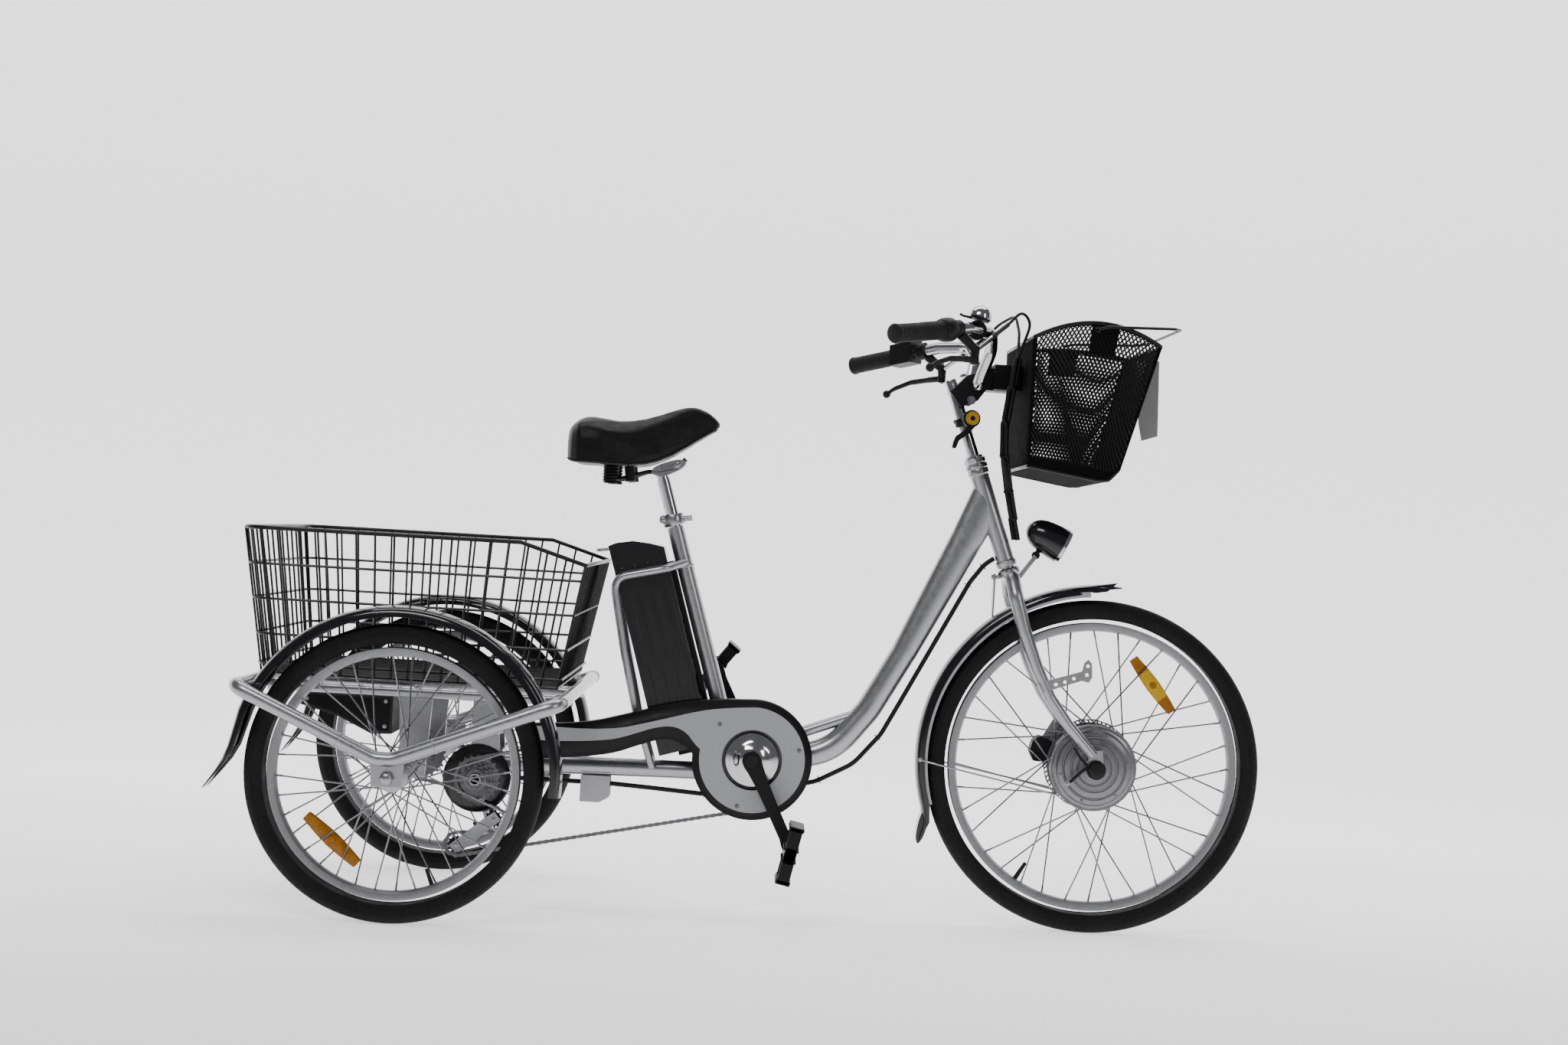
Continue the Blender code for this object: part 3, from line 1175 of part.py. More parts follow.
bars = pivot("bars_turn", on_steer(0.95), steering, (BARS_TURN, *STEER_AXIS))
hang(bars, stem(), handlebar(), stem_clamp(), control_unit(), bell(), shifter_body())
hang(bars, grip("grip_left", LEFT, 0.090), grip("grip_right", RIGHT, 0.068))
hang(bars, sleeve("throttle_housing", RIGHT, 0.1160, 0.1440, [0.0190, 0.0215, 0.0215], BLACK_PLASTIC))
hang(bars, front_basket(), cable_bundle())
for side_name, side_sign in SIDES:
    hang(bars, brake_bracket(side_name, side_sign))
    lever_pivot = pivot("lever_pivot_" + side_name, PIVOT[side_name], bars)
    hang(lever_pivot, brake_lever(side_name, side_sign))
throttle_pivot = pivot("throttle_pivot", along_grip(RIGHT, 0.09), bars)
hang(throttle_pivot, sleeve("throttle_grip", RIGHT, 0.0685, 0.1155, [0.0162, 0.0166, 0.0176], RUBBER))
shifter_pivot = pivot("shifter_pivot", SHIFTER, bars)
hang(shifter_pivot, shifter_lever())
bail_pivot = pivot("bail_pivot", BASKET_HANDLE_PIVOT, bars)
hang(bail_pivot, basket_handle())

drive_wheel = pivot("rear_wheel_right_pivot", REAR_AXLE)
hang(drive_wheel, tyre("tyre_rear_right", REAR_AXLE - Y_AXIS * (TRACK / 2), REAR_TYRE_R, REAR_RIM_R))
hang(drive_wheel, rear_rim("right", RIGHT), rear_axle())
free_wheel = pivot("rear_wheel_left_pivot", REAR_AXLE)
hang(free_wheel, tyre("tyre_rear_left", REAR_AXLE + Y_AXIS * (TRACK / 2), REAR_TYRE_R, REAR_RIM_R))
hang(free_wheel, rear_rim("left", LEFT))

crank_pivot = pivot("crank_pivot", BB)
hang(crank_pivot, crank_right(), crank_left())
pedal_reach = Vector((math.cos(CRANK_ANGLE), 0, math.sin(CRANK_ANGLE))) * CRANK_LENGTH
for side_name, side_sign, pedal_tilt in (("right", RIGHT, 78.0), ("left", LEFT, 52.0)):
    pedal_pivot = pivot("pedal_pivot_" + side_name, BB - pedal_reach * side_sign, crank_pivot)
    hang(pedal_pivot, pedal(side_name, side_sign, pedal_tilt))
hang(pivot("freewheel_pivot", JACKSHAFT), freewheel())
hang(pivot("jackshaft_pivot", JACKSHAFT), jackshaft())

hang(pivot("seatpost_slide", on_seat(0.70)), seatpost(), saddle())
battery_slide = pivot("battery_slide", BATTERY_BASE)
hang(battery_slide, battery())
handle_x, handle_z = in_battery(-0.0045, 0.388)
hang(pivot("battery_handle_pivot", (handle_x, 0, handle_z), battery_slide), battery_handle())

# The whole tricycle slides back, so that its origin lies under the middle of its length.
REAR_END = -0.321
FRONT_END = WHEELBASE + FRONT_TYRE_R
for item in bpy.data.objects:
    if item.parent is None:
        item.location.x -= (REAR_END + FRONT_END) / 2
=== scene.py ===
"""Looks of the adult electric tricycle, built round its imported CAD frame.

Shapes are written with the rear axle at x = 0 and the floor at z = 0, +X forward, +Y to the
rider's left, in metres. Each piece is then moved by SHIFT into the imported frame.
"""

import math

import bmesh
import bpy
from mathutils import Matrix, Vector


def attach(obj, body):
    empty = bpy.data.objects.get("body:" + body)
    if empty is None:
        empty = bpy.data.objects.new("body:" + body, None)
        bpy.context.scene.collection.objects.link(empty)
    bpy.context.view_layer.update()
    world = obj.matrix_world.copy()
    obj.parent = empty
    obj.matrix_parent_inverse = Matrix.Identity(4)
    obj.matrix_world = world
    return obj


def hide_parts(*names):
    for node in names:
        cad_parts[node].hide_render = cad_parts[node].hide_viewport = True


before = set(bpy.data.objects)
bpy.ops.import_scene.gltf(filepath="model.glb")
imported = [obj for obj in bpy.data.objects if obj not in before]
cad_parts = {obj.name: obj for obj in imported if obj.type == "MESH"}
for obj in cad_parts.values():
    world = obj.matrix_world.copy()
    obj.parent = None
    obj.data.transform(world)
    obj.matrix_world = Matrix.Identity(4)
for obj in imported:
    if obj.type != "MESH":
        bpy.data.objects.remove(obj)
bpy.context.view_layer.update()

SHIFT = Matrix.Translation((-0.6055, 0.0, 0.0))
X, Y, Z = Vector((1, 0, 0)), Vector((0, 1, 0)), Vector((0, 0, 1))
FRONT_AXLE = Vector((1.227, 0.0, 0.305))
REAR_AXLE = Vector((0.0, 0.0, 0.255))
BB = Vector((0.605, 0.0, 0.288))
JACKSHAFT = Vector((0.108, 0.0, 0.224))
STEER_LOW = Vector((1.053, 0.0, 0.660))
STEER_AXIS = (Vector((0.9274, 0.0, 0.998)) - STEER_LOW).normalized()
SEAT_LOW = Vector((0.5694, 0.0, 0.283))
SEAT_AXIS = (Vector((0.4086, 0.0, 0.800)) - SEAT_LOW).normalized()
CRANK = Vector((math.cos(math.radians(-63.3)), 0, math.sin(math.radians(-63.3)))) * 0.170
WHEEL_Y = 0.315
FRONT_TYRE_R, FRONT_RIM_R = 0.305, 0.263
REAR_TYRE_R, REAR_RIM_R = 0.255, 0.214
DRIVE_CHAIN_Y, AXLE_CHAIN_Y, CHAIN_PITCH = -0.055, 0.015, 0.0127
WHEEL_SPOKES, SPOKE_R, NIPPLE_R = 36, 0.0014, 0.0018
RIGHT, LEFT = -1, 1
SIDES = (("right", RIGHT), ("left", LEFT))


def on_steer(z):
    return STEER_LOW + STEER_AXIS * ((z - STEER_LOW.z) / STEER_AXIS.z)


def on_seat(z):
    return SEAT_LOW + SEAT_AXIS * ((z - SEAT_LOW.z) / SEAT_AXIS.z)


BARS_TURN = (
    Matrix.Translation(on_steer(0.95))
    @ Matrix.Rotation(math.radians(5.0), 4, STEER_AXIS)
    @ Matrix.Translation(-on_steer(0.95))
)


def mirrored(point, side):
    return Vector((point[0], point[1] * side, point[2]))


def direction(degrees):
    """The unit vector at an angle from +X towards +Z."""
    return Vector((math.cos(math.radians(degrees)), 0, math.sin(math.radians(degrees))))


def quarter_turn(along):
    """The direction a quarter turn on from one that lies in the XZ plane."""
    return Vector((-along.z, 0, along.x))


# ---------------------------------------------------------------- camera, lights and floor
def camera():
    yaw, pitch, roll = math.radians(0.19), math.radians(0.06), math.radians(3.31)
    forward = Vector((math.sin(yaw) * math.cos(pitch), math.cos(yaw) * math.cos(pitch), math.sin(pitch)))
    level = Vector((math.cos(yaw), -math.sin(yaw), 0))
    upright = level.cross(forward)
    right = level * math.cos(roll) + upright * math.sin(roll)
    up = upright * math.cos(roll) - level * math.sin(roll)
    lens = bpy.data.cameras.new("camera")
    lens.sensor_width = 36.0
    lens.lens = 53.91
    eye = bpy.data.objects.new("camera", lens)
    bpy.context.scene.collection.objects.link(eye)
    basis = Matrix((right, up, -forward)).transposed().to_4x4()
    eye.matrix_world = SHIFT @ Matrix.Translation((0.624, -4.31, 0.715)) @ basis
    bpy.context.scene.camera = eye


def area_light(name, place, target, size, power):
    light = bpy.data.lights.new(name, "AREA")
    light.shape = "RECTANGLE"
    light.size, light.size_y = size
    light.energy = power
    lamp = bpy.data.objects.new(name, light)
    bpy.context.scene.collection.objects.link(lamp)
    lamp.location = place
    lamp.rotation_euler = (Vector(target) - Vector(place)).to_track_quat("-Z", "Y").to_euler()


def studio():
    world = bpy.data.worlds.new("studio")
    world.use_nodes = True
    bpy.context.scene.world = world
    background = world.node_tree.nodes["Background"]
    background.inputs["Color"].default_value = (0.96, 0.97, 1.0, 1.0)
    background.inputs["Strength"].default_value = 0.16
    area_light("key", (-1.2, -3.2, 3.6), (0, 0, 0.5), (2.2, 0.9), 75)
    area_light("fill", (3.0, -3.0, 2.2), (0.1, 0, 0.5), (0.8, 1.6), 26)
    area_light("top", (0.0, 0.5, 3.4), (0, 0, 0.4), (3.4, 1.2), 60)


def studio_floor():
    """A wide floor that curves up into a back wall and glows more towards the back."""
    builder = bmesh.new()
    rings = []
    for y, z in ((-60, 0), (6.0, 0), (9.0, 0.5), (11.0, 2.0), (11.6, 4.5), (11.6, 14)):
        rings.append([builder.verts.new((x, y, z)) for x in (-60, 60)])
    for a, b in zip(rings, rings[1:]):
        builder.faces.new((a[0], a[1], b[1], b[0]))
    mesh = bpy.data.meshes.new("floor")
    builder.to_mesh(mesh)
    builder.free()
    mesh.shade_smooth()
    mesh.materials.append(floor_paint())
    floor = bpy.data.objects.new("floor", mesh)
    bpy.context.scene.collection.objects.link(floor)


def floor_paint():
    paint = bpy.data.materials.new("floor")
    paint.use_nodes = True
    tree = paint.node_tree
    shader = tree.nodes["Principled BSDF"]
    shader.inputs["Base Color"].default_value = (0.92, 0.92, 0.92, 1.0)
    shader.inputs["Roughness"].default_value = 0.85
    shader.inputs["Emission Color"].default_value = (1.0, 1.0, 1.0, 1.0)
    place = tree.nodes.new("ShaderNodeTexCoord")
    axes = tree.nodes.new("ShaderNodeSeparateXYZ")
    tree.links.new(place.outputs["Object"], axes.inputs["Vector"])
    glow = tree.nodes.new("ShaderNodeMapRange")
    for socket, value in (("From Min", -2.0), ("From Max", 1.5), ("To Min", 0.25), ("To Max", 1.5)):
        glow.inputs[socket].default_value = value
    tree.links.new(axes.outputs["Y"], glow.inputs["Value"])
    tree.links.new(glow.outputs["Result"], shader.inputs["Emission Strength"])
    return paint


camera()
studio()
studio_floor()


# ---------------------------------------------------------------- materials
def finish(name, colours, roughness, metallic=0.0, grain=400.0, bump=0.0, bump_scale=None, **sockets):
    """A procedural finish: two colours and two roughnesses mixed by fine noise, with a bump."""
    made = bpy.data.materials.new(name)
    made.use_nodes = True
    tree = made.node_tree
    shader = tree.nodes["Principled BSDF"]
    shader.inputs["Metallic"].default_value = metallic
    for socket, value in sockets.items():
        shader.inputs[socket.replace("_", " ")].default_value = value
    where = tree.nodes.new("ShaderNodeTexCoord")
    noise = tree.nodes.new("ShaderNodeTexNoise")
    noise.inputs["Scale"].default_value = grain
    noise.inputs["Detail"].default_value = 3.0
    tree.links.new(where.outputs["Object"], noise.inputs["Vector"])
    ramp = tree.nodes.new("ShaderNodeValToRGB")
    ramp.color_ramp.elements[0].position = 0.35
    ramp.color_ramp.elements[0].color = (*colours[0], 1)
    ramp.color_ramp.elements[1].position = 0.65
    ramp.color_ramp.elements[1].color = (*colours[1], 1)
    tree.links.new(noise.outputs["Fac"], ramp.inputs["Fac"])
    tree.links.new(ramp.outputs["Color"], shader.inputs["Base Color"])
    wear = tree.nodes.new("ShaderNodeTexNoise")
    wear.inputs["Scale"].default_value = grain / 12
    wear.inputs["Detail"].default_value = 5.0
    tree.links.new(where.outputs["Object"], wear.inputs["Vector"])
    spread = tree.nodes.new("ShaderNodeMapRange")
    for socket, value in zip(("From Min", "From Max", "To Min", "To Max"), (0.3, 0.7, *roughness)):
        spread.inputs[socket].default_value = value
    tree.links.new(wear.outputs["Fac"], spread.inputs["Value"])
    tree.links.new(spread.outputs["Result"], shader.inputs["Roughness"])
    if bump:
        height = noise
        if bump_scale:
            height = tree.nodes.new("ShaderNodeTexVoronoi")
            height.inputs["Scale"].default_value = bump_scale
            tree.links.new(where.outputs["Object"], height.inputs["Vector"])
        relief = tree.nodes.new("ShaderNodeBump")
        relief.inputs["Strength"].default_value = bump
        relief.inputs["Distance"].default_value = 0.0006
        tree.links.new(height.outputs[0], relief.inputs["Height"])
        tree.links.new(relief.outputs["Normal"], shader.inputs["Normal"])
    return made


SILVER = finish("silver_paint", ((0.29, 0.293, 0.30), (0.40, 0.403, 0.41)), (0.26, 0.36), 0.90, 1500, 0.03,
                Coat_Weight=0.5, Coat_Roughness=0.08)
CHROME = finish("chrome_plate", ((0.50, 0.50, 0.51), (0.60, 0.60, 0.61)), (0.06, 0.15), 1.0, 300)
ALLOY = finish("alloy", ((0.30, 0.305, 0.31), (0.40, 0.405, 0.41)), (0.24, 0.36), 1.0, 900, 0.04)
RIM_ALLOY = finish("rim_alloy", ((0.21, 0.213, 0.217), (0.29, 0.293, 0.297)), (0.34, 0.46), 0.85, 700, 0.03)
SPOKE = finish("spoke_wire", ((0.12, 0.12, 0.125), (0.22, 0.22, 0.225)), (0.22, 0.34), 1.0, 500)
STEEL = finish("dark_steel", ((0.10, 0.10, 0.11), (0.20, 0.20, 0.21)), (0.35, 0.55), 0.9, 600, 0.06)
BRIGHT_STEEL = finish("zinc_steel", ((0.30, 0.30, 0.305), (0.42, 0.42, 0.425)), (0.25, 0.42), 1.0, 700, 0.05)
GLOSS = finish("gloss_black", ((0.006, 0.006, 0.007), (0.010, 0.010, 0.011)), (0.08, 0.16), 0.0, 200, 0.01,
               Specular_IOR_Level=0.50)
PLASTIC = finish("black_plastic", ((0.004, 0.004, 0.004), (0.009, 0.009, 0.010)), (0.34, 0.48), 0.0, 900,
                 0.12, Specular_IOR_Level=0.16)
WIRE = finish("black_wire", ((0.003, 0.003, 0.003), (0.007, 0.007, 0.007)), (0.25, 0.38), 0.0, 600, 0.06,
              Specular_IOR_Level=0.25)
MESH = finish("black_mesh", ((0.003, 0.003, 0.003), (0.008, 0.008, 0.008)), (0.40, 0.55), 0.0, 800, 0.10,
              Specular_IOR_Level=0.20)
PANEL = finish("basket_panel", ((0.002, 0.002, 0.002), (0.006, 0.006, 0.006)), (0.80, 0.95), 0.0, 700, 0.35,
               900.0, Specular_IOR_Level=0.04)
TYRE = finish("tyre_rubber", ((0.004, 0.004, 0.004), (0.008, 0.008, 0.008)), (0.60, 0.78), 0.0, 260, 0.20,
              Specular_IOR_Level=0.16)
RUBBER = finish("rubber", ((0.004, 0.004, 0.004), (0.009, 0.009, 0.009)), (0.50, 0.66), 0.0, 700, 0.15,
                Specular_IOR_Level=0.22)
VINYL = finish("vinyl", ((0.004, 0.004, 0.004), (0.008, 0.008, 0.008)), (0.30, 0.44), 0.0, 400, 0.30, 700.0,
               Specular_IOR_Level=0.13)
GREY = finish("grey_plastic", ((0.27, 0.275, 0.28), (0.32, 0.325, 0.33)), (0.40, 0.52), 0.0, 900, 0.08)
DARK = finish("dark_grey", ((0.014, 0.014, 0.016), (0.022, 0.022, 0.024)), (0.38, 0.50), 0.3, 800, 0.08)
AMBER = finish("amber_lens", ((0.21, 0.072, 0.0), (0.30, 0.118, 0.0)), (0.14, 0.24), 0.0, 300, 0.8, 420.0,
               Specular_IOR_Level=0.3)
AMBER_PALE = finish("amber_lens_pale", ((0.44, 0.24, 0.0), (0.52, 0.31, 0.0)), (0.14, 0.24), 0.0, 300, 0.8,
                    420.0, Specular_IOR_Level=0.3)
HUB = finish("hub_alloy", ((0.16, 0.16, 0.165), (0.26, 0.26, 0.27)), (0.28, 0.42), 1.0, 900, 0.06)
YELLOW = finish("yellow_ring", ((0.42, 0.20, 0.0), (0.50, 0.26, 0.0)), (0.30, 0.42), 0.0, 600, 0.05)
TAG = finish("tag_vinyl", ((0.17, 0.17, 0.17), (0.21, 0.21, 0.21)), (0.45, 0.60), 0.0, 700, 0.15)
LENS = finish("clear_lens", ((0.88, 0.90, 0.92), (0.93, 0.95, 0.96)), (0.03, 0.08), 0.0, 200, 0.25, 260.0,
              Transmission_Weight=0.85, IOR=1.49)
LEATHER = finish("leather_grain", ((0.012, 0.012, 0.013), (0.020, 0.020, 0.021)), (0.42, 0.55), 0.0, 500,
                 0.4, 520.0,
              Specular_IOR_Level=0.20)


# ---------------------------------------------------------------- shape helpers
def rounded(points, radius, steps=8):
    """The points with every inner corner replaced by an arc of about the given radius."""
    points = [Vector(point) for point in points]
    path = [points[0]]
    for before, corner, after in zip(points, points[1:], points[2:]):
        to_before, to_after = before - corner, after - corner
        turn = math.pi - to_before.angle(to_after)
        if turn < 0.02:
            path.append(corner)
            continue
        reach = radius * math.tan(turn / 2)
        reach = min(reach, 0.49 * to_before.length, 0.49 * to_after.length)
        start = corner + to_before.normalized() * reach
        end = corner + to_after.normalized() * reach
        for step in range(steps + 1):
            t = step / steps
            path.append(start.lerp(corner, t).lerp(corner.lerp(end, t), t))
    path.append(points[-1])
    return path


class Shape:
    """One piece: closed shapes gathered in a mesh, each with the material that use() last named."""

    def __init__(self, material):
        self.builder = bmesh.new()
        self.materials = []
        self.use(material)

    def use(self, material):
        if material not in self.materials:
            self.materials.append(material)
        self.index = self.materials.index(material)
        return self

    def face(self, corners):
        unique = []
        for corner in corners:
            if corner not in unique:
                unique.append(corner)
        if len(unique) > 2:
            self.builder.faces.new(unique).material_index = self.index

    def rings(self, rings, closed=False, caps=True):
        rings = [[self.builder.verts.new(point) for point in ring] for ring in rings]
        pairs = list(zip(rings, rings[1:]))
        if closed:
            pairs.append((rings[-1], rings[0]))
        for ring, following in pairs:
            count = max(len(ring), len(following))
            for i in range(count):
                j = (i + 1) % count
                self.face((ring[i % len(ring)], ring[j % len(ring)],
                           following[j % len(following)], following[i % len(following)]))
        if caps and not closed:
            self.face(rings[0][::-1])
            self.face(rings[-1])
        return self

    def tube(self, points, radius, sides=20, closed=False):
        points = [Vector(point) for point in points]
        radii = radius if isinstance(radius, (list, tuple)) else [radius] * len(points)
        rings, side = [], None
        for i, point in enumerate(points):
            before = points[i - 1] if closed or i else point
            after = points[(i + 1) % len(points)] if closed or i + 1 < len(points) else point
            along = (after - before).normalized()
            if side is None:
                side = along.cross(Y if abs(along.y) < 0.9 else Z)
            side = (side - along * side.dot(along)).normalized()
            up = along.cross(side)
            ring = []
            for k in range(sides):
                angle = 2 * math.pi * k / sides
                ring.append(point + (side * math.cos(angle) + up * math.sin(angle)) * radii[i])
            rings.append(ring)
        return self.rings(rings, closed)

    def turned(self, profile, centre, axis=Y, steps=48, ring=False):
        axis = Vector(axis).normalized()
        side = axis.cross(Z if abs(axis.z) < 0.9 else Y).normalized()
        up = side.cross(axis)
        rings = []
        for radius, along in profile:
            base = Vector(centre) + axis * along
            if radius < 1e-6:
                rings.append([base])
                continue
            circle = []
            for k in range(steps):
                angle = 2 * math.pi * k / steps
                circle.append(base + (side * math.cos(angle) + up * math.sin(angle)) * radius)
            rings.append(circle)
        return self.rings(rings, ring, caps=not ring)

    def disc(self, centre, y, half, radius, steps=32, chamfer=0.0006):
        profile = [(0, -half), (radius - chamfer, -half), (radius, -half + chamfer)]
        profile += [(radius, half - chamfer), (radius - chamfer, half), (0, half)]
        return self.turned(profile, (centre[0], y, centre[2]), Y, steps)

    def washer(self, centre, axis, inner, outer, half, steps=40):
        profile = [(inner, -half), (outer, -half), (outer, half), (inner, half)]
        return self.turned(profile, centre, axis, steps, ring=True)

    def torus(self, centre, axis, radius, thick, steps=32, sides=8):
        profile = []
        for k in range(sides):
            angle = 2 * math.pi * k / sides
            profile.append((radius + thick * math.cos(angle), thick * math.sin(angle)))
        return self.turned(profile, centre, axis, steps, ring=True)

    def bolt(self, centre, axis, radius, height):
        """A hexagon head with a washer under it."""
        self.turned([(0, 0), (radius * 1.35, 0), (radius * 1.35, height * 0.2), (0, height * 0.2)], centre,
                    axis, 20)
        self.turned([(0, height * 0.2), (radius, height * 0.2), (radius, height * 0.9),
                     (radius * 0.82, height), (0, height)], centre, axis, 6)
        return self

    def prism(self, ring, low, high):
        """A ring of points carried along Y from low to high."""
        return self.rings([[point + Y * low for point in ring], [point + Y * high for point in ring]])

    def plate(self, outline, low, high):
        return self.rings([[Vector((x, y, z)) for x, z in outline] for y in (low, high)])

    def pierced(self, outline, holes, low, high):
        """A plate between two heights along Y with round or free holes through it."""
        loops = [outline] + holes
        for y in (low, high):
            edges = []
            for loop in loops:
                corners = [self.builder.verts.new((x, y, z)) for x, z in loop]
                for a, b in zip(corners, corners[1:] + corners[:1]):
                    edges.append(self.builder.edges.new((a, b)))
            filled = bmesh.ops.triangle_fill(self.builder, use_beauty=True, edges=edges)
            for face in filled["geom"]:
                if isinstance(face, bmesh.types.BMFace):
                    face.material_index = self.index
        for loop in loops:
            rings = [[Vector((x, y, z)) for x, z in loop] for y in (low, high)]
            self.rings(rings, caps=False)
        return self

    def block(self, low, high):
        outline = [(low[0], low[2]), (high[0], low[2]), (high[0], high[2]), (low[0], high[2])]
        return self.plate(outline, low[1], high[1])

    def swept(self, section, frames):
        """A closed (out, y) section carried along frames of (point, outward direction)."""
        rings = []
        for point, outward in frames:
            rings.append([Vector(point) + Vector(outward) * out + Y * y for out, y in section])
        return self.rings(rings)

    def sheet(self, grid):
        """An open surface through a grid of points."""
        grid = [[self.builder.verts.new(point) for point in row] for row in grid]
        for row, following in zip(grid, grid[1:]):
            for i in range(len(row) - 1):
                self.face((row[i], row[i + 1], following[i + 1], following[i]))
        return self

    def done(self, name, body, nodes=(), bars=False, bevel=0.0, solidify=0.0, subdivide=0,
             angle=38.0):
        if not solidify:
            bmesh.ops.recalc_face_normals(self.builder, faces=self.builder.faces)
        mesh = bpy.data.meshes.new(name)
        self.builder.to_mesh(mesh)
        self.builder.free()
        mesh.transform(SHIFT @ BARS_TURN if bars else SHIFT)
        mesh.shade_smooth()
        mesh.set_sharp_from_angle(angle=math.radians(angle))
        for material in self.materials:
            mesh.materials.append(material)
        piece = bpy.data.objects.new(name, mesh)
        bpy.context.scene.collection.objects.link(piece)
        if solidify:
            skin = piece.modifiers.new("skin", "SOLIDIFY")
            skin.thickness = solidify
            skin.offset = 0
        if bevel:
            edges = piece.modifiers.new("edges", "BEVEL")
            edges.width = bevel
            edges.segments = 2
            edges.limit_method = "ANGLE"
            edges.angle_limit = math.radians(40)
        if subdivide:
            smooth = piece.modifiers.new("smooth", "SUBSURF")
            smooth.levels = smooth.render_levels = subdivide
        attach(piece, body)
        if nodes:
            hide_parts(*nodes)
        return piece


def belt(wheels):
    """A closed path of points round wheels of (centre, radius, +1 inside or -1 outside)."""
    contacts = []
    for (here, r_here, s_here), (there, r_there, s_there) in zip(wheels, wheels[1:] + wheels[:1]):
        line = there - here
        heading = math.atan2(line.z, line.x)
        heading += math.asin((s_here * r_here - s_there * r_there) / line.length)
        normal = Vector((math.sin(heading), 0, -math.cos(heading)))
        contacts.append((here + normal * s_here * r_here, there + normal * s_there * r_there))
    path = []
    for i, (centre, radius, side) in enumerate(wheels):
        arrive, leave = contacts[i - 1][1] - centre, contacts[i][0] - centre
        start = math.atan2(arrive.z, arrive.x)
        sweep = (math.atan2(leave.z, leave.x) - start) * side % (2 * math.pi) * side
        for step in range(25):
            angle = start + sweep * step / 24
            path.append(Vector((centre.x + radius * math.cos(angle), 0,
                                centre.z + radius * math.sin(angle))))
    return path


# ---------------------------------------------------------------- frame
def main_frame():
    shape = Shape(SILVER)
    spine = [(1.008, 0, 0.784), (0.978, 0, 0.714), (0.871, 0, 0.493), (0.812, 0, 0.385)]
    spine = rounded(spine + [(0.745, 0, 0.300), (0.600, 0, 0.288)], 0.16, 12)
    across = STEER_AXIS.cross(Y)
    rings = []
    for i, point in enumerate(spine):
        along = (spine[min(i + 1, len(spine) - 1)] - spine[max(i - 1, 0)]).normalized()
        up = along.cross(Y)
        tall = max(0.0235, 0.0235 + (point.z - 0.48) * 0.030)
        wide = 0.0235 - max(0.0, point.z - 0.50) * 0.024
        ring = []
        for k in range(40):
            angle = 2 * math.pi * k / 40
            ring.append(point + up * (tall * math.cos(angle)) + Y * (wide * math.sin(angle)))
        if i == 0:
            ring = [p - along * ((p - STEER_LOW).dot(across) / along.dot(across)) for p in ring]
        rings.append(ring)
    shape.rings(rings)
    shape.tube([(0.590, 0, 0.297), (0.812, 0, 0.383)], 0.0105, 24)
    shape.disc(BB, 0, 0.0340, 0.0205, 40)
    shape.tube([(0.1520, 0, 0.2515), (0.598, 0, 0.2575)], 0.0165, 32)
    shape.tube([on_seat(0.262), on_seat(0.700)], 0.0155, 32)
    head = [(0.6625, 0.0185), (0.6645, 0.0195), (0.6720, 0.0195), (0.6745, 0.0172), (0.680, 0.0170)]
    head += [(0.820, 0.0170), (0.8265, 0.0172), (0.8290, 0.0195), (0.8360, 0.0195), (0.8380, 0.0185)]
    shape.tube([on_steer(z) for z, _ in head], [r for _, r in head], 40)
    for side in (RIGHT, LEFT):
        bend = [(0.462, 0.012, 0.636), (0.430, 0.054, 0.624), (0.335, 0.054, 0.602)]
        bend += [(0.362, 0.045, 0.470), (0.3905, 0.031, 0.355), (0.4235, 0.014, 0.258)]
        shape.tube(rounded([mirrored(point, side) for point in bend], 0.028), 0.0075, 16)
    # Weld beads where the tubes meet.
    shape.torus(on_seat(0.300), SEAT_AXIS, 0.0165, 0.0030)
    shape.torus(on_seat(0.628), SEAT_AXIS, 0.0158, 0.0022)
    shape.torus((0.585, 0, 0.2575), X, 0.0175, 0.0030)
    shape.torus((0.627, 0, 0.288), X, 0.0235, 0.0030)
    shape.torus((0.806, 0, 0.3805), Vector((0.91, 0, 0.41)), 0.0115, 0.0028)
    shape.use(BRIGHT_STEEL)
    for y in (-0.0345, 0.0345):
        shape.washer((BB.x, y, BB.z), Y, 0.0110, 0.0190, 0.0012)
    shape.use(SILVER)
    tab = [(0.294, 0.238), (0.348, 0.238), (0.348, 0.200), (0.330, 0.189), (0.294, 0.189)]
    shape.plate(tab, -0.0165, -0.0135)
    shape.plate(tab, 0.0135, 0.0165)
    shape.done("frame_tubes", "frame", ["main_frame"], bevel=0.0006)


def seat_clamp():
    shape = Shape(ALLOY)
    low, high = on_seat(0.7025), on_seat(0.722)
    shape.tube([low, low.lerp(high, 0.08), low.lerp(high, 0.92), high], [0.0188, 0.0198, 0.0198, 0.0188], 36)
    middle = (low + high) / 2
    shape.tube([middle + Vector((-0.018, -0.014, 0)), middle + Vector((-0.018, 0.014, 0))], 0.0078, 20)
    shape.use(BRIGHT_STEEL)
    shape.bolt(middle + Vector((-0.018, -0.014, 0)), -Y, 0.0050, 0.0050)
    shape.tube([middle + Vector((0.012, 0, 0.003)), middle + Vector((0.034, 0, 0.006))], 0.0052, 16)
    shape.done("seat_clamp_collar", "frame", ["seat_clamp"])


HOOP_Y, HOOP_R = 0.390, 0.0115
REAR_BAR_X, REAR_BAR_Z = -0.265, 0.395
FRONT_BAR_X, FRONT_BAR_Z = 0.280, 0.393


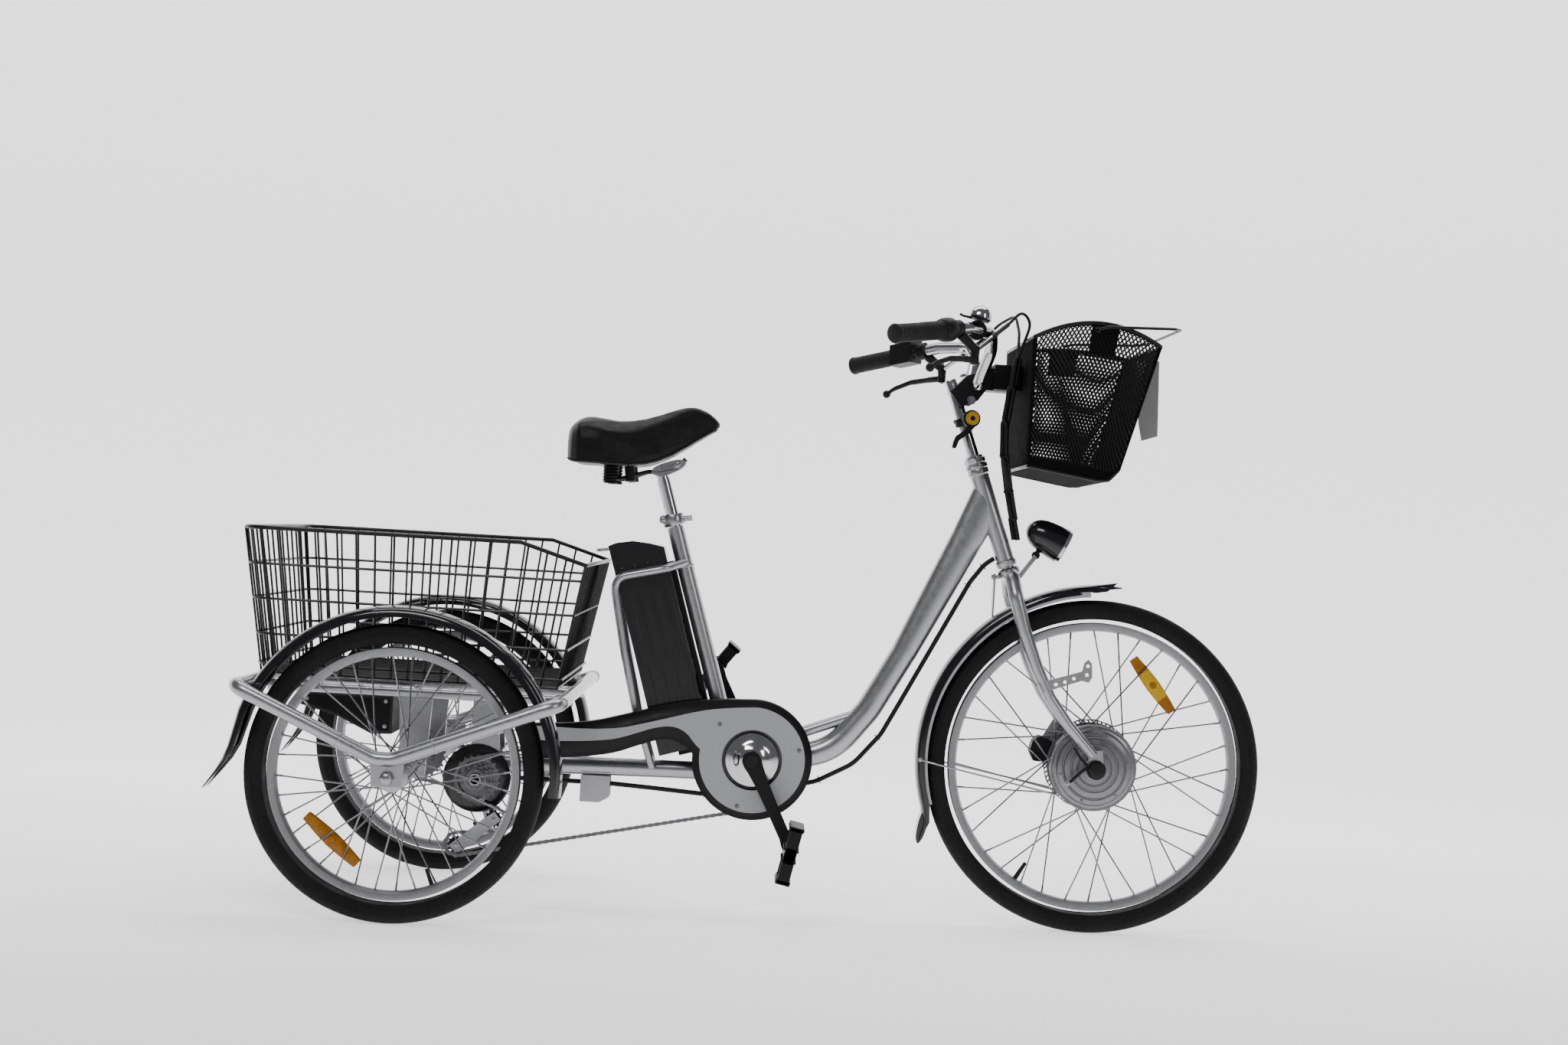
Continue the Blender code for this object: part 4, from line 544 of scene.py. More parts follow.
def carrier():
    shape = Shape(SILVER)
    reach = HOOP_Y - 0.0603
    for x, z in ((REAR_BAR_X, REAR_BAR_Z), (FRONT_BAR_X, FRONT_BAR_Z)):
        shape.tube([(x, -reach, z), (x, reach, z)], HOOP_R, 24)
    for side in (RIGHT, LEFT):
        y = 0.110 * side
        shape.tube([(REAR_BAR_X, y, 0.3780), (FRONT_BAR_X, y, 0.3790)], 0.0100, 20)
        shape.plate([(-0.030, 0.374), (0.030, 0.374), (0.022, 0.225), (-0.022, 0.225)], y - 0.003, y + 0.003)
        y = 0.040 * side
        shape.plate([(0.094, 0.374), (0.138, 0.374), (0.150, 0.240), (0.150, 0.196), (0.094, 0.196)],
                    y - 0.002, y + 0.002)
    shape.tube([(0.116, -0.110, 0.372), (0.116, 0.110, 0.372)], 0.0095, 20)
    shape.block((0.1465, -0.0395, 0.226), (0.1515, 0.0395, 0.278))
    shape.use(BRIGHT_STEEL)
    for side in (RIGHT, LEFT):
        shape.washer((0, side * 0.1145, REAR_AXLE.z), Y, 0.0088, 0.0200, 0.0013)
        shape.washer((JACKSHAFT.x, side * 0.0430, JACKSHAFT.z), Y, 0.0088, 0.0145, 0.0010)
        for x in (-0.20, 0.0, 0.22):
            shape.bolt((x, side * 0.110, 0.3878), Z, 0.0045, 0.0045)
    shape.done("carrier_tubes", "frame", ["carrier_frame"], bevel=0.0006)


def hoop(name, side):
    shape = Shape(SILVER)
    inner = HOOP_Y - 0.060
    path = [(REAR_BAR_X, inner, REAR_BAR_Z), (REAR_BAR_X, HOOP_Y, REAR_BAR_Z), (-0.022, HOOP_Y, 0.2860)]
    path += [(0.008, HOOP_Y, 0.2860), (FRONT_BAR_X, HOOP_Y, FRONT_BAR_Z), (FRONT_BAR_X, inner, FRONT_BAR_Z)]
    shape.tube(rounded([mirrored(point, side) for point in path], 0.045, 12), HOOP_R + 0.0010, 28)
    for x, z, along in ((-0.084, 0.3142, (-0.907, 0, 0.421)), (0.076, 0.3128, (0.930, 0, 0.366))):
        shape.torus((x, HOOP_Y * side, z), along, 0.0120, 0.0017, 28)
    y = HOOP_Y * side
    shape.plate([(-0.030, 0.284), (0.028, 0.284), (0.026, 0.240), (-0.026, 0.240)], y - 0.0025, y + 0.0025)
    shape.done("side_hoop_tube_" + name, "frame", ["side_hoop_" + name], bevel=0.0006)


def mudguard_section(half, lip, skin):
    """A channel whose crown is gently rounded and whose edges are rolled."""
    outer, inner = [], []
    for k in range(13):
        angle = math.pi * k / 12
        y = -half * math.cos(angle)
        drop = lip * (1 - math.sin(angle) ** 0.55)
        outer.append((-drop, y))
        inner.append((-drop - skin * math.sin(angle) - 0.0002, y * (1 - skin / half)))
    return outer + inner[::-1]


def rear_mudguard(name, side):
    shape = Shape(GLOSS)
    centre = REAR_AXLE + Y * (WHEEL_Y * side)
    frames = [(centre + direction(a) * 0.286, direction(a)) for a in range(-5, 161, 3)]
    for x, z, tilt in ((-0.283, 0.290, 170), (-0.291, 0.267, 162), (-0.302, 0.246, 156),
                       (-0.321, 0.216, 150)):
        frames.append((Vector((x, centre.y, z)), direction(tilt)))
    flap_at = len(frames) - 4
    rings = []
    for i, (point, outward) in enumerate(frames):
        flat = max(0.0, (i - flap_at + 1) / 4.0)
        section = mudguard_section(0.0315 - 0.009 * flat, 0.0190 - 0.0165 * flat, 0.0020)
        rings.append([Vector(point) + Vector(outward) * out + Y * y for out, y in section])
    shape.rings(rings)
    shape.use(BRIGHT_STEEL)
    for x, z in ((FRONT_BAR_X, FRONT_BAR_Z), (REAR_BAR_X, REAR_BAR_Z)):
        bar = Vector((x, 0, z)) - REAR_AXLE
        base = centre - Y * (0.010 * side)
        outward = bar.normalized()
        reach = bar.length - HOOP_R - 0.0006
        shape.tube([base + outward * 0.2835, base + outward * reach], 0.0060, 16)
        shape.bolt(base + outward * 0.2815, -outward, 0.0045, 0.0035)
    shape.done("mudguard_shell_rear_" + name, "frame", ["mudguard_rear_" + name])


# ---------------------------------------------------------------- rear basket
# Each wall's place at the floor and at the rim.
BASKET_REAR, BASKET_FRONT, BASKET_HALF = (-0.256, -0.290), (0.262, 0.302), (0.249, 0.288)
BASKET_FLOOR, BASKET_RIM, BASKET_CORNER, WIRE_R = 0.4080, 0.6595, 0.055, 0.0020
RIM_BREAK_X = 0.190
ROWS = ((0.4250, 0.18), (0.4770, 0.36), (0.5380, 0.58), (0.5980, 0.80), (0.6590, 1.0))


def basket_outline(level):
    """The basket's plan at a level from 0, its floor, to 1, its rim: rounded at the back."""
    rear, front, half = [low + (high - low) * level for low,
                         high in (BASKET_REAR, BASKET_FRONT, BASKET_HALF)]
    corners = [(front, -half), (rear, -half), (rear, half), (front, half)]
    return rounded([Vector((x, y, 0)) for x, y in corners], BASKET_CORNER, 10)


def rim_height(x):
    """The rim is level, then falls towards the front."""
    return BASKET_RIM - max(0.0, x - RIM_BREAK_X) * 0.300


def rear_basket():
    shape = Shape(WIRE)
    top = [Vector((p.x, p.y, rim_height(p.x))) for p in basket_outline(1.0)]
    top.insert(1, Vector((RIM_BREAK_X, -BASKET_HALF[1], BASKET_RIM)))
    top.insert(len(top) - 1, Vector((RIM_BREAK_X, BASKET_HALF[1], BASKET_RIM)))
    shape.tube(top + [top[0]], 0.0037, 10)
    for z, level in ROWS[:-1]:
        ring = [Vector((p.x, p.y, z)) for p in basket_outline(level)]
        shape.tube(ring + [ring[0]], 0.0023, 8)
    bottom = [Vector((p.x, p.y, BASKET_FLOOR + 0.002)) for p in basket_outline(0.0)]
    shape.tube(bottom + [bottom[0]], 0.0026, 8)

    def wall_wire(start, end, share):
        """A wire from the floor's outline to the rim's, at a share of the way between two corners."""
        ends = []
        for level in (0, 1):
            (x0, y0), (x1, y1) = start[level], end[level]
            ends.append(Vector((x0 + (x1 - x0) * share, y0 + (y1 - y0) * share, BASKET_FLOOR + 0.002)))
        ends[1].z = rim_height(ends[1].x)
        shape.tube(ends, WIRE_R, 6)

    def corner(wall, side):
        return [(x, half * side) for x, half in zip(wall, BASKET_HALF)]

    for side in (-1, 1):
        for k in range(18):
            wall_wire(corner(BASKET_REAR, side), corner(BASKET_FRONT, side), 0.055 + 0.945 * k / 17.0)
    for k in range(13):
        for wall in (BASKET_REAR, BASKET_FRONT):
            wall_wire(corner(wall, -1), corner(wall, 1), 0.06 + 0.88 * k / 12.0)
    for side in (-1, 1):
        for angle in (22, 45, 68):
            c, s = 1 - math.cos(math.radians(angle)), 1 - math.sin(math.radians(angle))
            low, high = [Vector((x + BASKET_CORNER * c, side * (half - BASKET_CORNER * s), 0))
                         for x, half in zip(BASKET_REAR, BASKET_HALF)]
            low.z, high.z = BASKET_FLOOR + 0.002, 0.6590
            shape.tube([low, high], WIRE_R, 6)
    for k in range(17):
        y, z = -0.24 + 0.48 * k / 16, BASKET_FLOOR + 0.0025
        shape.tube([(-0.254, y, z), (0.262, y, z)], WIRE_R, 6)
    for k in range(15):
        x, z = -0.243 + 0.493 * k / 14, BASKET_FLOOR + 0.0005
        shape.tube([(x, -0.249, z), (x, 0.249, z)], WIRE_R, 6)
    shape.done("rear_basket_wires", "frame", ["rear_basket"])


def controller():
    shape = Shape(DARK)
    outline = [(-0.213, 0.3670), (-0.045, 0.3670), (-0.045, 0.299), (-0.081, 0.297), (-0.144, 0.326)]
    shape.plate(outline + [(-0.213, 0.344)], -0.084, 0.084)
    shape.use(PLASTIC)
    for y in (-0.0845, 0.0845):
        shape.plate([(-0.207, 0.362), (-0.050, 0.362), (-0.050, 0.304), (-0.083, 0.303),
                     (-0.146, 0.331), (-0.207, 0.348)], y - 0.0005, y + 0.0005)
    shape.use(BRIGHT_STEEL)
    for x, z in ((-0.200, 0.355), (-0.058, 0.357), (-0.058, 0.312)):
        shape.bolt((x, -0.0848, z), -Y, 0.0028, 0.0018)
    shape.done("controller_case", "frame", ["controller_box"], bevel=0.0015)


# ---------------------------------------------------------------- battery
TILT = math.radians(16.9)
UP = Vector((-math.sin(TILT), 0.0, math.cos(TILT)))
AHEAD = Vector((math.cos(TILT), 0.0, math.sin(TILT)))
BASE = Vector((0.436, 0.0, 0.282))


def in_battery(forward, up):
    point = BASE + AHEAD * forward + UP * up
    return (point.x, point.z)


def battery():
    shape = Shape(GLOSS)
    outline = [(0.0, 0.0), (0.084, 0.0), (0.098, 0.016), (0.098, 0.3545), (0.0, 0.3545)]
    shape.plate([in_battery(*p) for p in outline], -0.0385, 0.0385)
    top = [(-0.0002, 0.3535), (0.0982, 0.3535), (0.0982, 0.368), (0.075, 0.380), (0.045, 0.392)]
    top += [(0.015, 0.3955), (-0.0002, 0.3935)]
    shape.plate([in_battery(*p) for p in top], -0.0390, 0.0390)
    for side in (-1, 1):
        for forward in (0.008, 0.032, 0.056, 0.080):
            ridge = [(forward, 0.006), (forward + 0.012, 0.006), (forward + 0.012, 0.349), (forward, 0.349)]
            low, high = sorted((side * 0.0375, side * 0.0391))
            shape.plate([in_battery(*p) for p in ridge], low, high)
    shape.done("battery_pack", "battery", ["battery"], bevel=0.0022)


def battery_handle():
    shape = Shape(BRIGHT_STEEL)
    corners = [(-0.0045, 0.388, -0.030), (-0.022, 0.391, -0.028), (-0.022, 0.391, 0.028),
               (-0.0045, 0.388, 0.030)]
    path = []
    for forward, up, y in corners:
        x, z = in_battery(forward, up)
        path.append((x, y, z))
    shape.tube(rounded(path, 0.010), 0.0029, 14)
    shape.done("battery_handle_loop", "battery_handle", ["battery_handle"])


def battery_dock():
    shape = Shape(PLASTIC)
    rail = [(0.0984, 0.010), (0.1088, 0.010), (0.1088, 0.340), (0.0984, 0.340)]
    shape.plate([in_battery(*p) for p in rail], -0.012, 0.012)
    foot = [(0.035, -0.0080), (0.104, -0.0080), (0.104, 0.0120), (0.0992, 0.0120), (0.0852, -0.0006)]
    shape.plate([in_battery(*p) for p in foot + [(0.035, -0.0006)]], -0.030, 0.030)
    shape.done("battery_dock_rail", "frame", ["battery_dock"], bevel=0.001)


# ---------------------------------------------------------------- drive
def arc(centre, radius, start, end, steps):
    points = []
    for step in range(steps + 1):
        outward = direction(start + (end - start) * step / steps)
        points.append((centre.x + radius * outward.x, centre.z + radius * outward.z))
    return points


def smooth_path(points, rounds=2):
    """Cuts the corners of an open (x, z) path, keeping its ends."""
    for _ in range(rounds):
        path = [points[0]]
        for (x0, z0), (x1, z1) in zip(points, points[1:]):
            path.append((x0 * 0.75 + x1 * 0.25, z0 * 0.75 + z1 * 0.25))
            path.append((x0 * 0.25 + x1 * 0.75, z0 * 0.25 + z1 * 0.75))
        points = path + [points[-1]]
    return points


def chain_case_shell():
    lower = smooth_path([(0.200, 0.268), (0.261, 0.273), (0.349, 0.284), (0.402, 0.305), (0.440, 0.318),
                         (0.466, 0.316), (0.488, 0.304), (0.4972, 0.2937)])
    upper = smooth_path([(0.6088, 0.396), (0.527, 0.3925), (0.450, 0.380), (0.378, 0.358), (0.299, 0.336),
                         (0.200, 0.330)])
    outline = lower + arc(BB, 0.1080, 180, 448, 60)[1:] + upper[1:]
    shape = Shape(PLASTIC)
    shape.pierced(outline, [arc(BB, 0.0560, 0, 355, 71)], -0.0720, -0.0704)
    rim = [[Vector((x, y, z)) for x, z in outline] for y in (-0.0718, -0.0425)]
    shape.sheet([ring + ring[:1] for ring in rim])
    shape.done("chain_case_shell", "frame", ["chain_case_back"], solidify=0.0012, angle=50)


def chain_case_cover():
    low = smooth_path([(0.202, 0.303), (0.253, 0.302), (0.347, 0.309), (0.392, 0.324), (0.426, 0.337),
                       (0.459, 0.342), (0.484, 0.332), (0.500, 0.312), (0.5105, 0.3025)])
    high = smooth_path([(0.6085, 0.3834), (0.561, 0.3800), (0.511, 0.373), (0.425, 0.348), (0.346, 0.327),
                        (0.202, 0.328)])
    face = Shape(GREY)
    face.pierced(low + arc(BB, 0.0955, 171, 448, 62)[1:] + high[1:], [arc(BB, 0.0545, 0, 355, 71)], -0.0752,
                 -0.0724)
    face.use(STEEL)
    for angle in (15, 135, 255):
        spot = BB + direction(angle) * 0.0870
        face.bolt((spot.x, -0.0752, spot.z), -Y, 0.0030, 0.0016)
    face.done("chain_case_cover", "frame", ["chain_case_face"], angle=30)


TENSION_WHEEL = Vector((0.079, 0.0, 0.104))
GUIDE_WHEEL = Vector((0.144, 0.0, 0.153))


def chain(name, wheels, y, node):
    """A roller chain: pairs of waisted plates on pins, laid along the path at half-inch pitch."""
    path = belt(wheels)
    lengths = [(b - a).length for a, b in zip(path, path[1:] + path[:1])]
    count = round(sum(lengths) / CHAIN_PITCH / 2) * 2
    pitch = sum(lengths) / count
    shape = Shape(STEEL)
    spots, travelled, i = [], 0.0, 0
    for k in range(count):
        target = k * pitch
        while travelled + lengths[i] < target:
            travelled += lengths[i]
            i += 1
        spots.append(path[i].lerp(path[(i + 1) % len(path)], (target - travelled) / max(lengths[i], 1e-9)))
    for k, here in enumerate(spots):
        there = spots[(k + 1) % count]
        along = (there - here).normalized()
        across = quarter_turn(along)
        offset = 0.0030 if k % 2 else 0.0022
        points = [(-0.0032, 0.0006), (-0.0018, 0.0030), (0.0018, 0.0033), (pitch / 2, 0.0023)]
        points += [(pitch - 0.0018, 0.0033), (pitch + 0.0018, 0.0030), (pitch + 0.0032, 0.0006)]
        ring = [here + along * a + across * b for a, b in points]
        ring += [here + along * a - across * b for a, b in reversed(points)]
        for side in (-1, 1):
            inner, outer = sorted((y + side * (offset - 0.0005), y + side * (offset + 0.0005)))
            shape.prism(ring, inner, outer)
        shape.tube([here + Y * (y - 0.0034), here + Y * (y + 0.0034)], 0.0022, 8)
    shape.done(name, "frame", [node], angle=30)


def toothed(shape, centre, y, root, tip, teeth, half):
    """A thin sprocket with pointed teeth."""
    ring = []
    for k in range(teeth):
        for share, radius in ((0.0, root), (0.22, root), (0.42, tip), (0.58, tip), (0.78, root)):
            ring.append(Vector(centre) + direction(360 * (k + share) / teeth) * radius)
    shape.prism(ring, y - half, y + half)


def derailleur():
    shape = Shape(ALLOY)
    y = DRIVE_CHAIN_Y
    arm = [(0.112, 0.190), (0.132, 0.190), (0.152, 0.158), (0.140, 0.138), (0.126, 0.150)]
    shape.plate(arm, -0.0420, -0.0390)
    cage = [(0.130, 0.156), (0.146, 0.167), (0.158, 0.152), (0.094, 0.096), (0.080, 0.090), (0.066, 0.102)]
    shape.plate(cage, y + 0.0055, y + 0.0070)
    shape.plate(cage, y - 0.0075, y - 0.0060)
    shape.use(PLASTIC)
    for centre in (GUIDE_WHEEL, TENSION_WHEEL):
        toothed(shape, centre, y, 0.0135, 0.0170, 11, 0.0012)
    shape.use(BRIGHT_STEEL)
    for centre in (GUIDE_WHEEL, TENSION_WHEEL):
        shape.tube([centre + Y * (y - 0.0078), centre + Y * (y + 0.0160)], 0.0040, 14)
        shape.bolt(centre + Y * (y - 0.0075), -Y, 0.0038, 0.0022)
    shape.use(ALLOY)
    shape.tube([(0.121, -0.0405, 0.186), (0.121, -0.050, 0.190)], 0.0070, 16)
    shape.tube([(0.136, -0.0410, 0.168), (0.143, -0.0470, 0.154)], 0.0068, 14)
    shape.done("derailleur", "frame", ["rear_derailleur"], bevel=0.0004)


def cranks():
    shape = Shape(STEEL)
    toothed(shape, BB, DRIVE_CHAIN_Y, 0.0830, 0.0885, 44, 0.0011)
    shape.disc(BB, DRIVE_CHAIN_Y, 0.0016, 0.0820, 64)
    shape.use(CHROME)
    dish = [(0.0, -0.0850), (0.0170, -0.0850), (0.0230, -0.0830), (0.0300, -0.0780), (0.0360, -0.0745)]
    dish += [(0.0440, -0.0730), (0.0480, -0.0715), (0.0490, -0.0690), (0.0490, -0.0570), (0.0, -0.0570)]
    shape.turned(dish, BB, Y, 64)
    shape.use(BRIGHT_STEEL)
    shape.tube([BB + Y * -0.0600, BB + Y * 0.0780], 0.0093, 20)
    shape.use(PLASTIC)
    for y, side in ((-0.0890, RIGHT), (0.0840, LEFT)):
        along = CRANK.normalized() * (-side)
        across = quarter_turn(along)
        half_outline = ((-0.0175, 0.004), (-0.0150, 0.0105), (-0.006, 0.0165), (0.004, 0.0172),
                        (0.018, 0.0148))
        half_outline += ((0.045, 0.0122), (0.100, 0.0108), (0.148, 0.0104), (0.162, 0.0128), (0.172, 0.0128))
        half_outline += ((0.181, 0.0088), (0.184, 0.003))
        for inset, low, high in ((0.0, -0.0052, 0.0052), (0.0016, -0.0064, 0.0064)):
            ring = [BB + along * a + across * (b - inset) for a, b in half_outline]
            ring += [BB + along * a - across * (b - inset) for a, b in reversed(half_outline)]
            shape.prism(ring, y + low, y + high)
    shape.use(RUBBER)
    shape.disc(BB, -0.0965, 0.0020, 0.0115, 32)
    shape.disc(BB, 0.0915, 0.0020, 0.0115, 32)
    shape.done("crankset", "cranks", ["crank_right", "crank_left"], bevel=0.0006)


def pedal(name, side, tilt):
    """A resin pedal: two tread rails with studs, end bars and cross bars on a steel axle."""
    centre = BB - CRANK * side
    along = direction(tilt)
    across = quarter_turn(along)

    def corner(a, b, y):
        return centre + along * a + across * b + Y * (side * y)

    def bar(a0, a1, b0, b1, y0, y1):
        section = [(a0, b0), (a1, b0), (a1, b1), (a0, b1)]
        shape.rings([[corner(a, b, y0) for a, b in section], [corner(a, b, y1) for a, b in section]])

    shape = Shape(PLASTIC)
    for a in (-0.052, 0.044):
        bar(a, a + 0.008, -0.0130, 0.0130, 0.1130, 0.2030)
    for y in (0.1130, 0.1970):
        bar(-0.050, 0.050, -0.0110, 0.0110, y, y + 0.006)
    bar(-0.0140, 0.0140, -0.0100, 0.0100, 0.1130, 0.2030)
    for y in (0.1400, 0.1740):
        bar(-0.050, 0.050, -0.0075, 0.0075, y, y + 0.004)
    for y_step in range(7):
        y = 0.1220 + 0.012 * y_step
        for a in (-0.048, 0.048, -0.010, 0.010):
            bar(a - 0.0022, a + 0.0022, -0.0138, 0.0138, y, y + 0.0042)
    shape.use(BRIGHT_STEEL)
    shape.tube([corner(0, 0, 0.0785), corner(0, 0, 0.1135)], 0.0054, 16)
    shape.tube([corner(0, 0, 0.0985), corner(0, 0, 0.1050)], 0.0085, 6)
    shape.done("pedal_" + name + "_body", "pedal_" + name, ["pedal_" + name],
                      bevel=0.0006)


def sprockets():
    shape = Shape(STEEL)
    for y, root, teeth in ((-0.0485, 0.0400, 22), (-0.0505, 0.0330, 18), (-0.0550, 0.0290, 16),
                           (-0.0595, 0.0240, 14), (-0.0625, 0.0220, 13)):
        toothed(shape, JACKSHAFT, y, root, root + 0.0040, teeth, 0.0009)
    shape.turned([(0.0087, -0.0448), (0.0200, -0.0448), (0.0200, -0.0660), (0.0180, -0.0680),
                  (0.0087, -0.0680)],
                 JACKSHAFT, Y, 40, ring=True)
    shape.use(GLOSS)
    shape.turned([(0.018, -0.0448), (0.0600, -0.0448), (0.0620, -0.0455), (0.0600, -0.0462),
                  (0.0380, -0.0466), (0.018, -0.0466)], JACKSHAFT, Y, 64, ring=True)
    shape.done("sprocket_cluster", "freewheel", ["freewheel"], bevel=0.0003)


def jackshaft():
    shape = Shape(BRIGHT_STEEL)
    shape.tube([JACKSHAFT + Y * -0.0744, JACKSHAFT + Y * 0.0500], 0.0082, 24)
    shape.tube([JACKSHAFT + Y * -0.0744, JACKSHAFT + Y * -0.0686], 0.0118, 6)
    shape.tube([JACKSHAFT + Y * 0.0442, JACKSHAFT + Y * 0.0500], 0.0118, 6)
    shape.use(STEEL)
    toothed(shape, JACKSHAFT, AXLE_CHAIN_Y, 0.0270, 0.0315, 15, 0.0012)
    shape.disc(JACKSHAFT, AXLE_CHAIN_Y, 0.0060, 0.0140)
    shape.done("jackshaft_bar", "jackshaft", ["jackshaft"])


# ---------------------------------------------------------------- wheels
# Rows of tread blocks: stagger, place across, drop below the crown, width and length.
TREAD_ROWS = ((0, 0.0, 0.0, 0.0050, 0.0110),
              (1, 0.0085, 0.0014, 0.0052, 0.0095), (1, -0.0085, 0.0014, 0.0052, 0.0095),
              (0, 0.0160, 0.0052, 0.0050, 0.0060), (0, -0.0160, 0.0052, 0.0050, 0.0060))


def tyre(name, body, centre, outer, rim):
    shape = Shape(TYRE)
    bead, half = rim + 0.0004, 0.0242
    middle = (rim + 0.004 + outer) / 2
    height = (outer - rim) / 2 - 0.0012
    profile = []
    for k in range(27):
        angle = math.radians(-128 + 256 * k / 26)
        squash = abs(math.sin(angle)) ** 0.85 * math.copysign(1, math.sin(angle))
        profile.append((middle - 0.0015 + (height + 0.0008) * math.cos(angle), half * squash))
    profile = [(max(radius, bead), y) for radius, y in profile]
    shape.turned(profile, centre, Y, 144, ring=True)
    # Tread: two staggered rows of blocks beside a centre rib, and bars on the shoulders.
    count = round(2 * math.pi * outer / 0.0150)
    crown = outer - 0.0003
    for k in range(count):
        for row, y, drop, width, length in TREAD_ROWS:
            angle = 360 * (k + row * 0.5) / count
            out = direction(angle)
            along = direction(angle + 90)
            lean = 0.0030 * (1 if y > 0 else -1 if y < 0 else 0)
            top = crown - drop
            corners = []
            for a, b in ((-1, -1), (1, -1), (1, 1), (-1, 1)):
                corners.append(centre + along * (a * length / 2 + b * lean) + Y * (y + b * width / 2))
            shape.rings([[p + out * (top - 0.0035) for p in corners], [p + out * top for p in corners]])
    # Moulded rings on the side walls.
    for side in (-1, 1):
        shape.torus(centre + Y * (side * 0.0236), Y, (rim + outer) / 2 + 0.004, 0.0009, 128, 6)
        shape.torus(centre + Y * (side * 0.0192), Y, rim + 0.0085, 0.0010, 128, 6)
    shape.use(RUBBER)
    shape.done(name.replace("tyre", "tyre_tread"), body, [name], angle=50)


def reflector(shape, centre, angle, ends=None):
    """A wheel reflector: a tapered amber bar, perhaps with a paler middle, and a clip."""
    along, across = direction(angle), direction(angle + 90)
    spans = ((-0.060, 0.060, AMBER),)
    if ends:
        spans = ((-0.060, -0.030, ends), (-0.030, 0.030, AMBER_PALE), (0.030, 0.060, ends))
    for low, high, paint in spans:
        shape.use(paint)
        rings = []
        for step in range(9):
            reach = low + (high - low) * step / 8
            half = 0.0128 - 0.0048 * (abs(reach) / 0.060) ** 1.5
            section = ((-half, -0.0045), (half, -0.0045), (half * 0.85, -0.0062), (0, -0.0070),
                       (-half * 0.85, -0.0062))
            rings.append([centre + along * reach + across * b + Y * y for b, y in section])
        shape.rings(rings)
        rings = [[p + Y * (2 * (centre.y - p.y)) for p in ring] for ring in rings]
        shape.rings(rings)
    shape.use(AMBER)
    shape.turned([(0, -0.0086), (0.0060, -0.0080), (0.0075, 0.0), (0.0060, 0.0080), (0, 0.0086)],
                 Vector(centre), Y, 20)


def spokes(shape, centre, hub_r, flange_y, rim_r, count, cross, turn=0.0):
    """Laced spokes with nipples: alternate spokes of a flange lean opposite ways and cross."""
    for k in range(count):
        side = 1 if k % 2 else -1
        lead = 1 if (k // 2) % 2 else -1
        rim_angle = 360 * k / count + turn
        hub_angle = rim_angle + lead * cross
        start = centre + direction(hub_angle) * hub_r + Y * (side * flange_y)
        end = centre + direction(rim_angle) * rim_r + Y * (side * 0.0030)
        shape.tube([start, end], SPOKE_R, 6)
        shape.tube([end - (end - start).normalized() * 0.012, end], NIPPLE_R, 8)


def rim_hoop(shape, centre, outer):
    inner = outer - 0.0150
    profile = [(outer, -0.0132), (outer + 0.0006, -0.0122), (outer - 0.0025, -0.0112),
               (outer - 0.0030, 0.0112)]
    profile += [(outer + 0.0006, 0.0122), (outer, 0.0132), (outer - 0.0050, 0.0132),
                (inner + 0.0035, 0.0118)]
    profile += [(inner + 0.0008, 0.0072), (inner, 0.0030), (inner, -0.0030), (inner + 0.0008, -0.0072)]
    profile += [(inner + 0.0035, -0.0118), (outer - 0.0050, -0.0132)]
    shape.turned(profile, centre, Y, 144, ring=True)


def rear_wheel(name, side, body, nodes):
    centre = REAR_AXLE + Y * (WHEEL_Y * side)
    shape = Shape(RIM_ALLOY)
    rim_hoop(shape, centre, REAR_RIM_R)
    shape.use(ALLOY)
    half = [(0.0086, 0.046), (0.0160, 0.046), (0.0170, 0.044), (0.0170, 0.034), (0.0285, 0.0315)]
    half += [(0.0290, 0.0300), (0.0285, 0.0285), (0.0180, 0.0270), (0.0150, 0.022)]
    hub = [(radius, -y) for radius, y in half] + [(0.0145, 0.0)] + half[::-1]
    shape.turned(hub, centre, Y, 48, ring=True)
    shape.use(SPOKE)
    spokes(shape, centre, 0.0262, 0.0300, 0.1995, WHEEL_SPOKES, 62.0, 4.0)
    shape.use(RUBBER)
    valve = centre + direction(-68) * 0.1990
    shape.tube([valve, valve - direction(-68) * 0.028], [0.0040, 0.0030], 14)
    angle = -130.0 if side == RIGHT else 20.0
    reflector(shape, centre + direction(angle) * 0.154, angle + 89.5)
    shape.done("wheel_rear_" + name, body, nodes, angle=40)


def front_wheel():
    shape = Shape(RIM_ALLOY)
    rim_hoop(shape, FRONT_AXLE, FRONT_RIM_R)
    shape.use(SPOKE)
    spokes(shape, FRONT_AXLE, 0.0768, 0.0275, 0.2485, WHEEL_SPOKES, 34.0, 2.0)
    shape.use(HUB)
    for side in (-1, 1):
        shape.washer(FRONT_AXLE + Y * (side * 0.0280), Y, 0.0750, 0.0790, 0.0016, 72)
    shape.use(RUBBER)
    valve = FRONT_AXLE + direction(-121) * 0.2480
    shape.tube([valve, valve - direction(-121) * 0.012, valve - direction(-121) * 0.034],
               [0.0044, 0.0042, 0.0032], 14)
    reflector(shape, FRONT_AXLE + direction(56.2) * 0.187, -51.0, AMBER)
    shape.done("wheel_front", "front_wheel", ["rim_front"], angle=40)


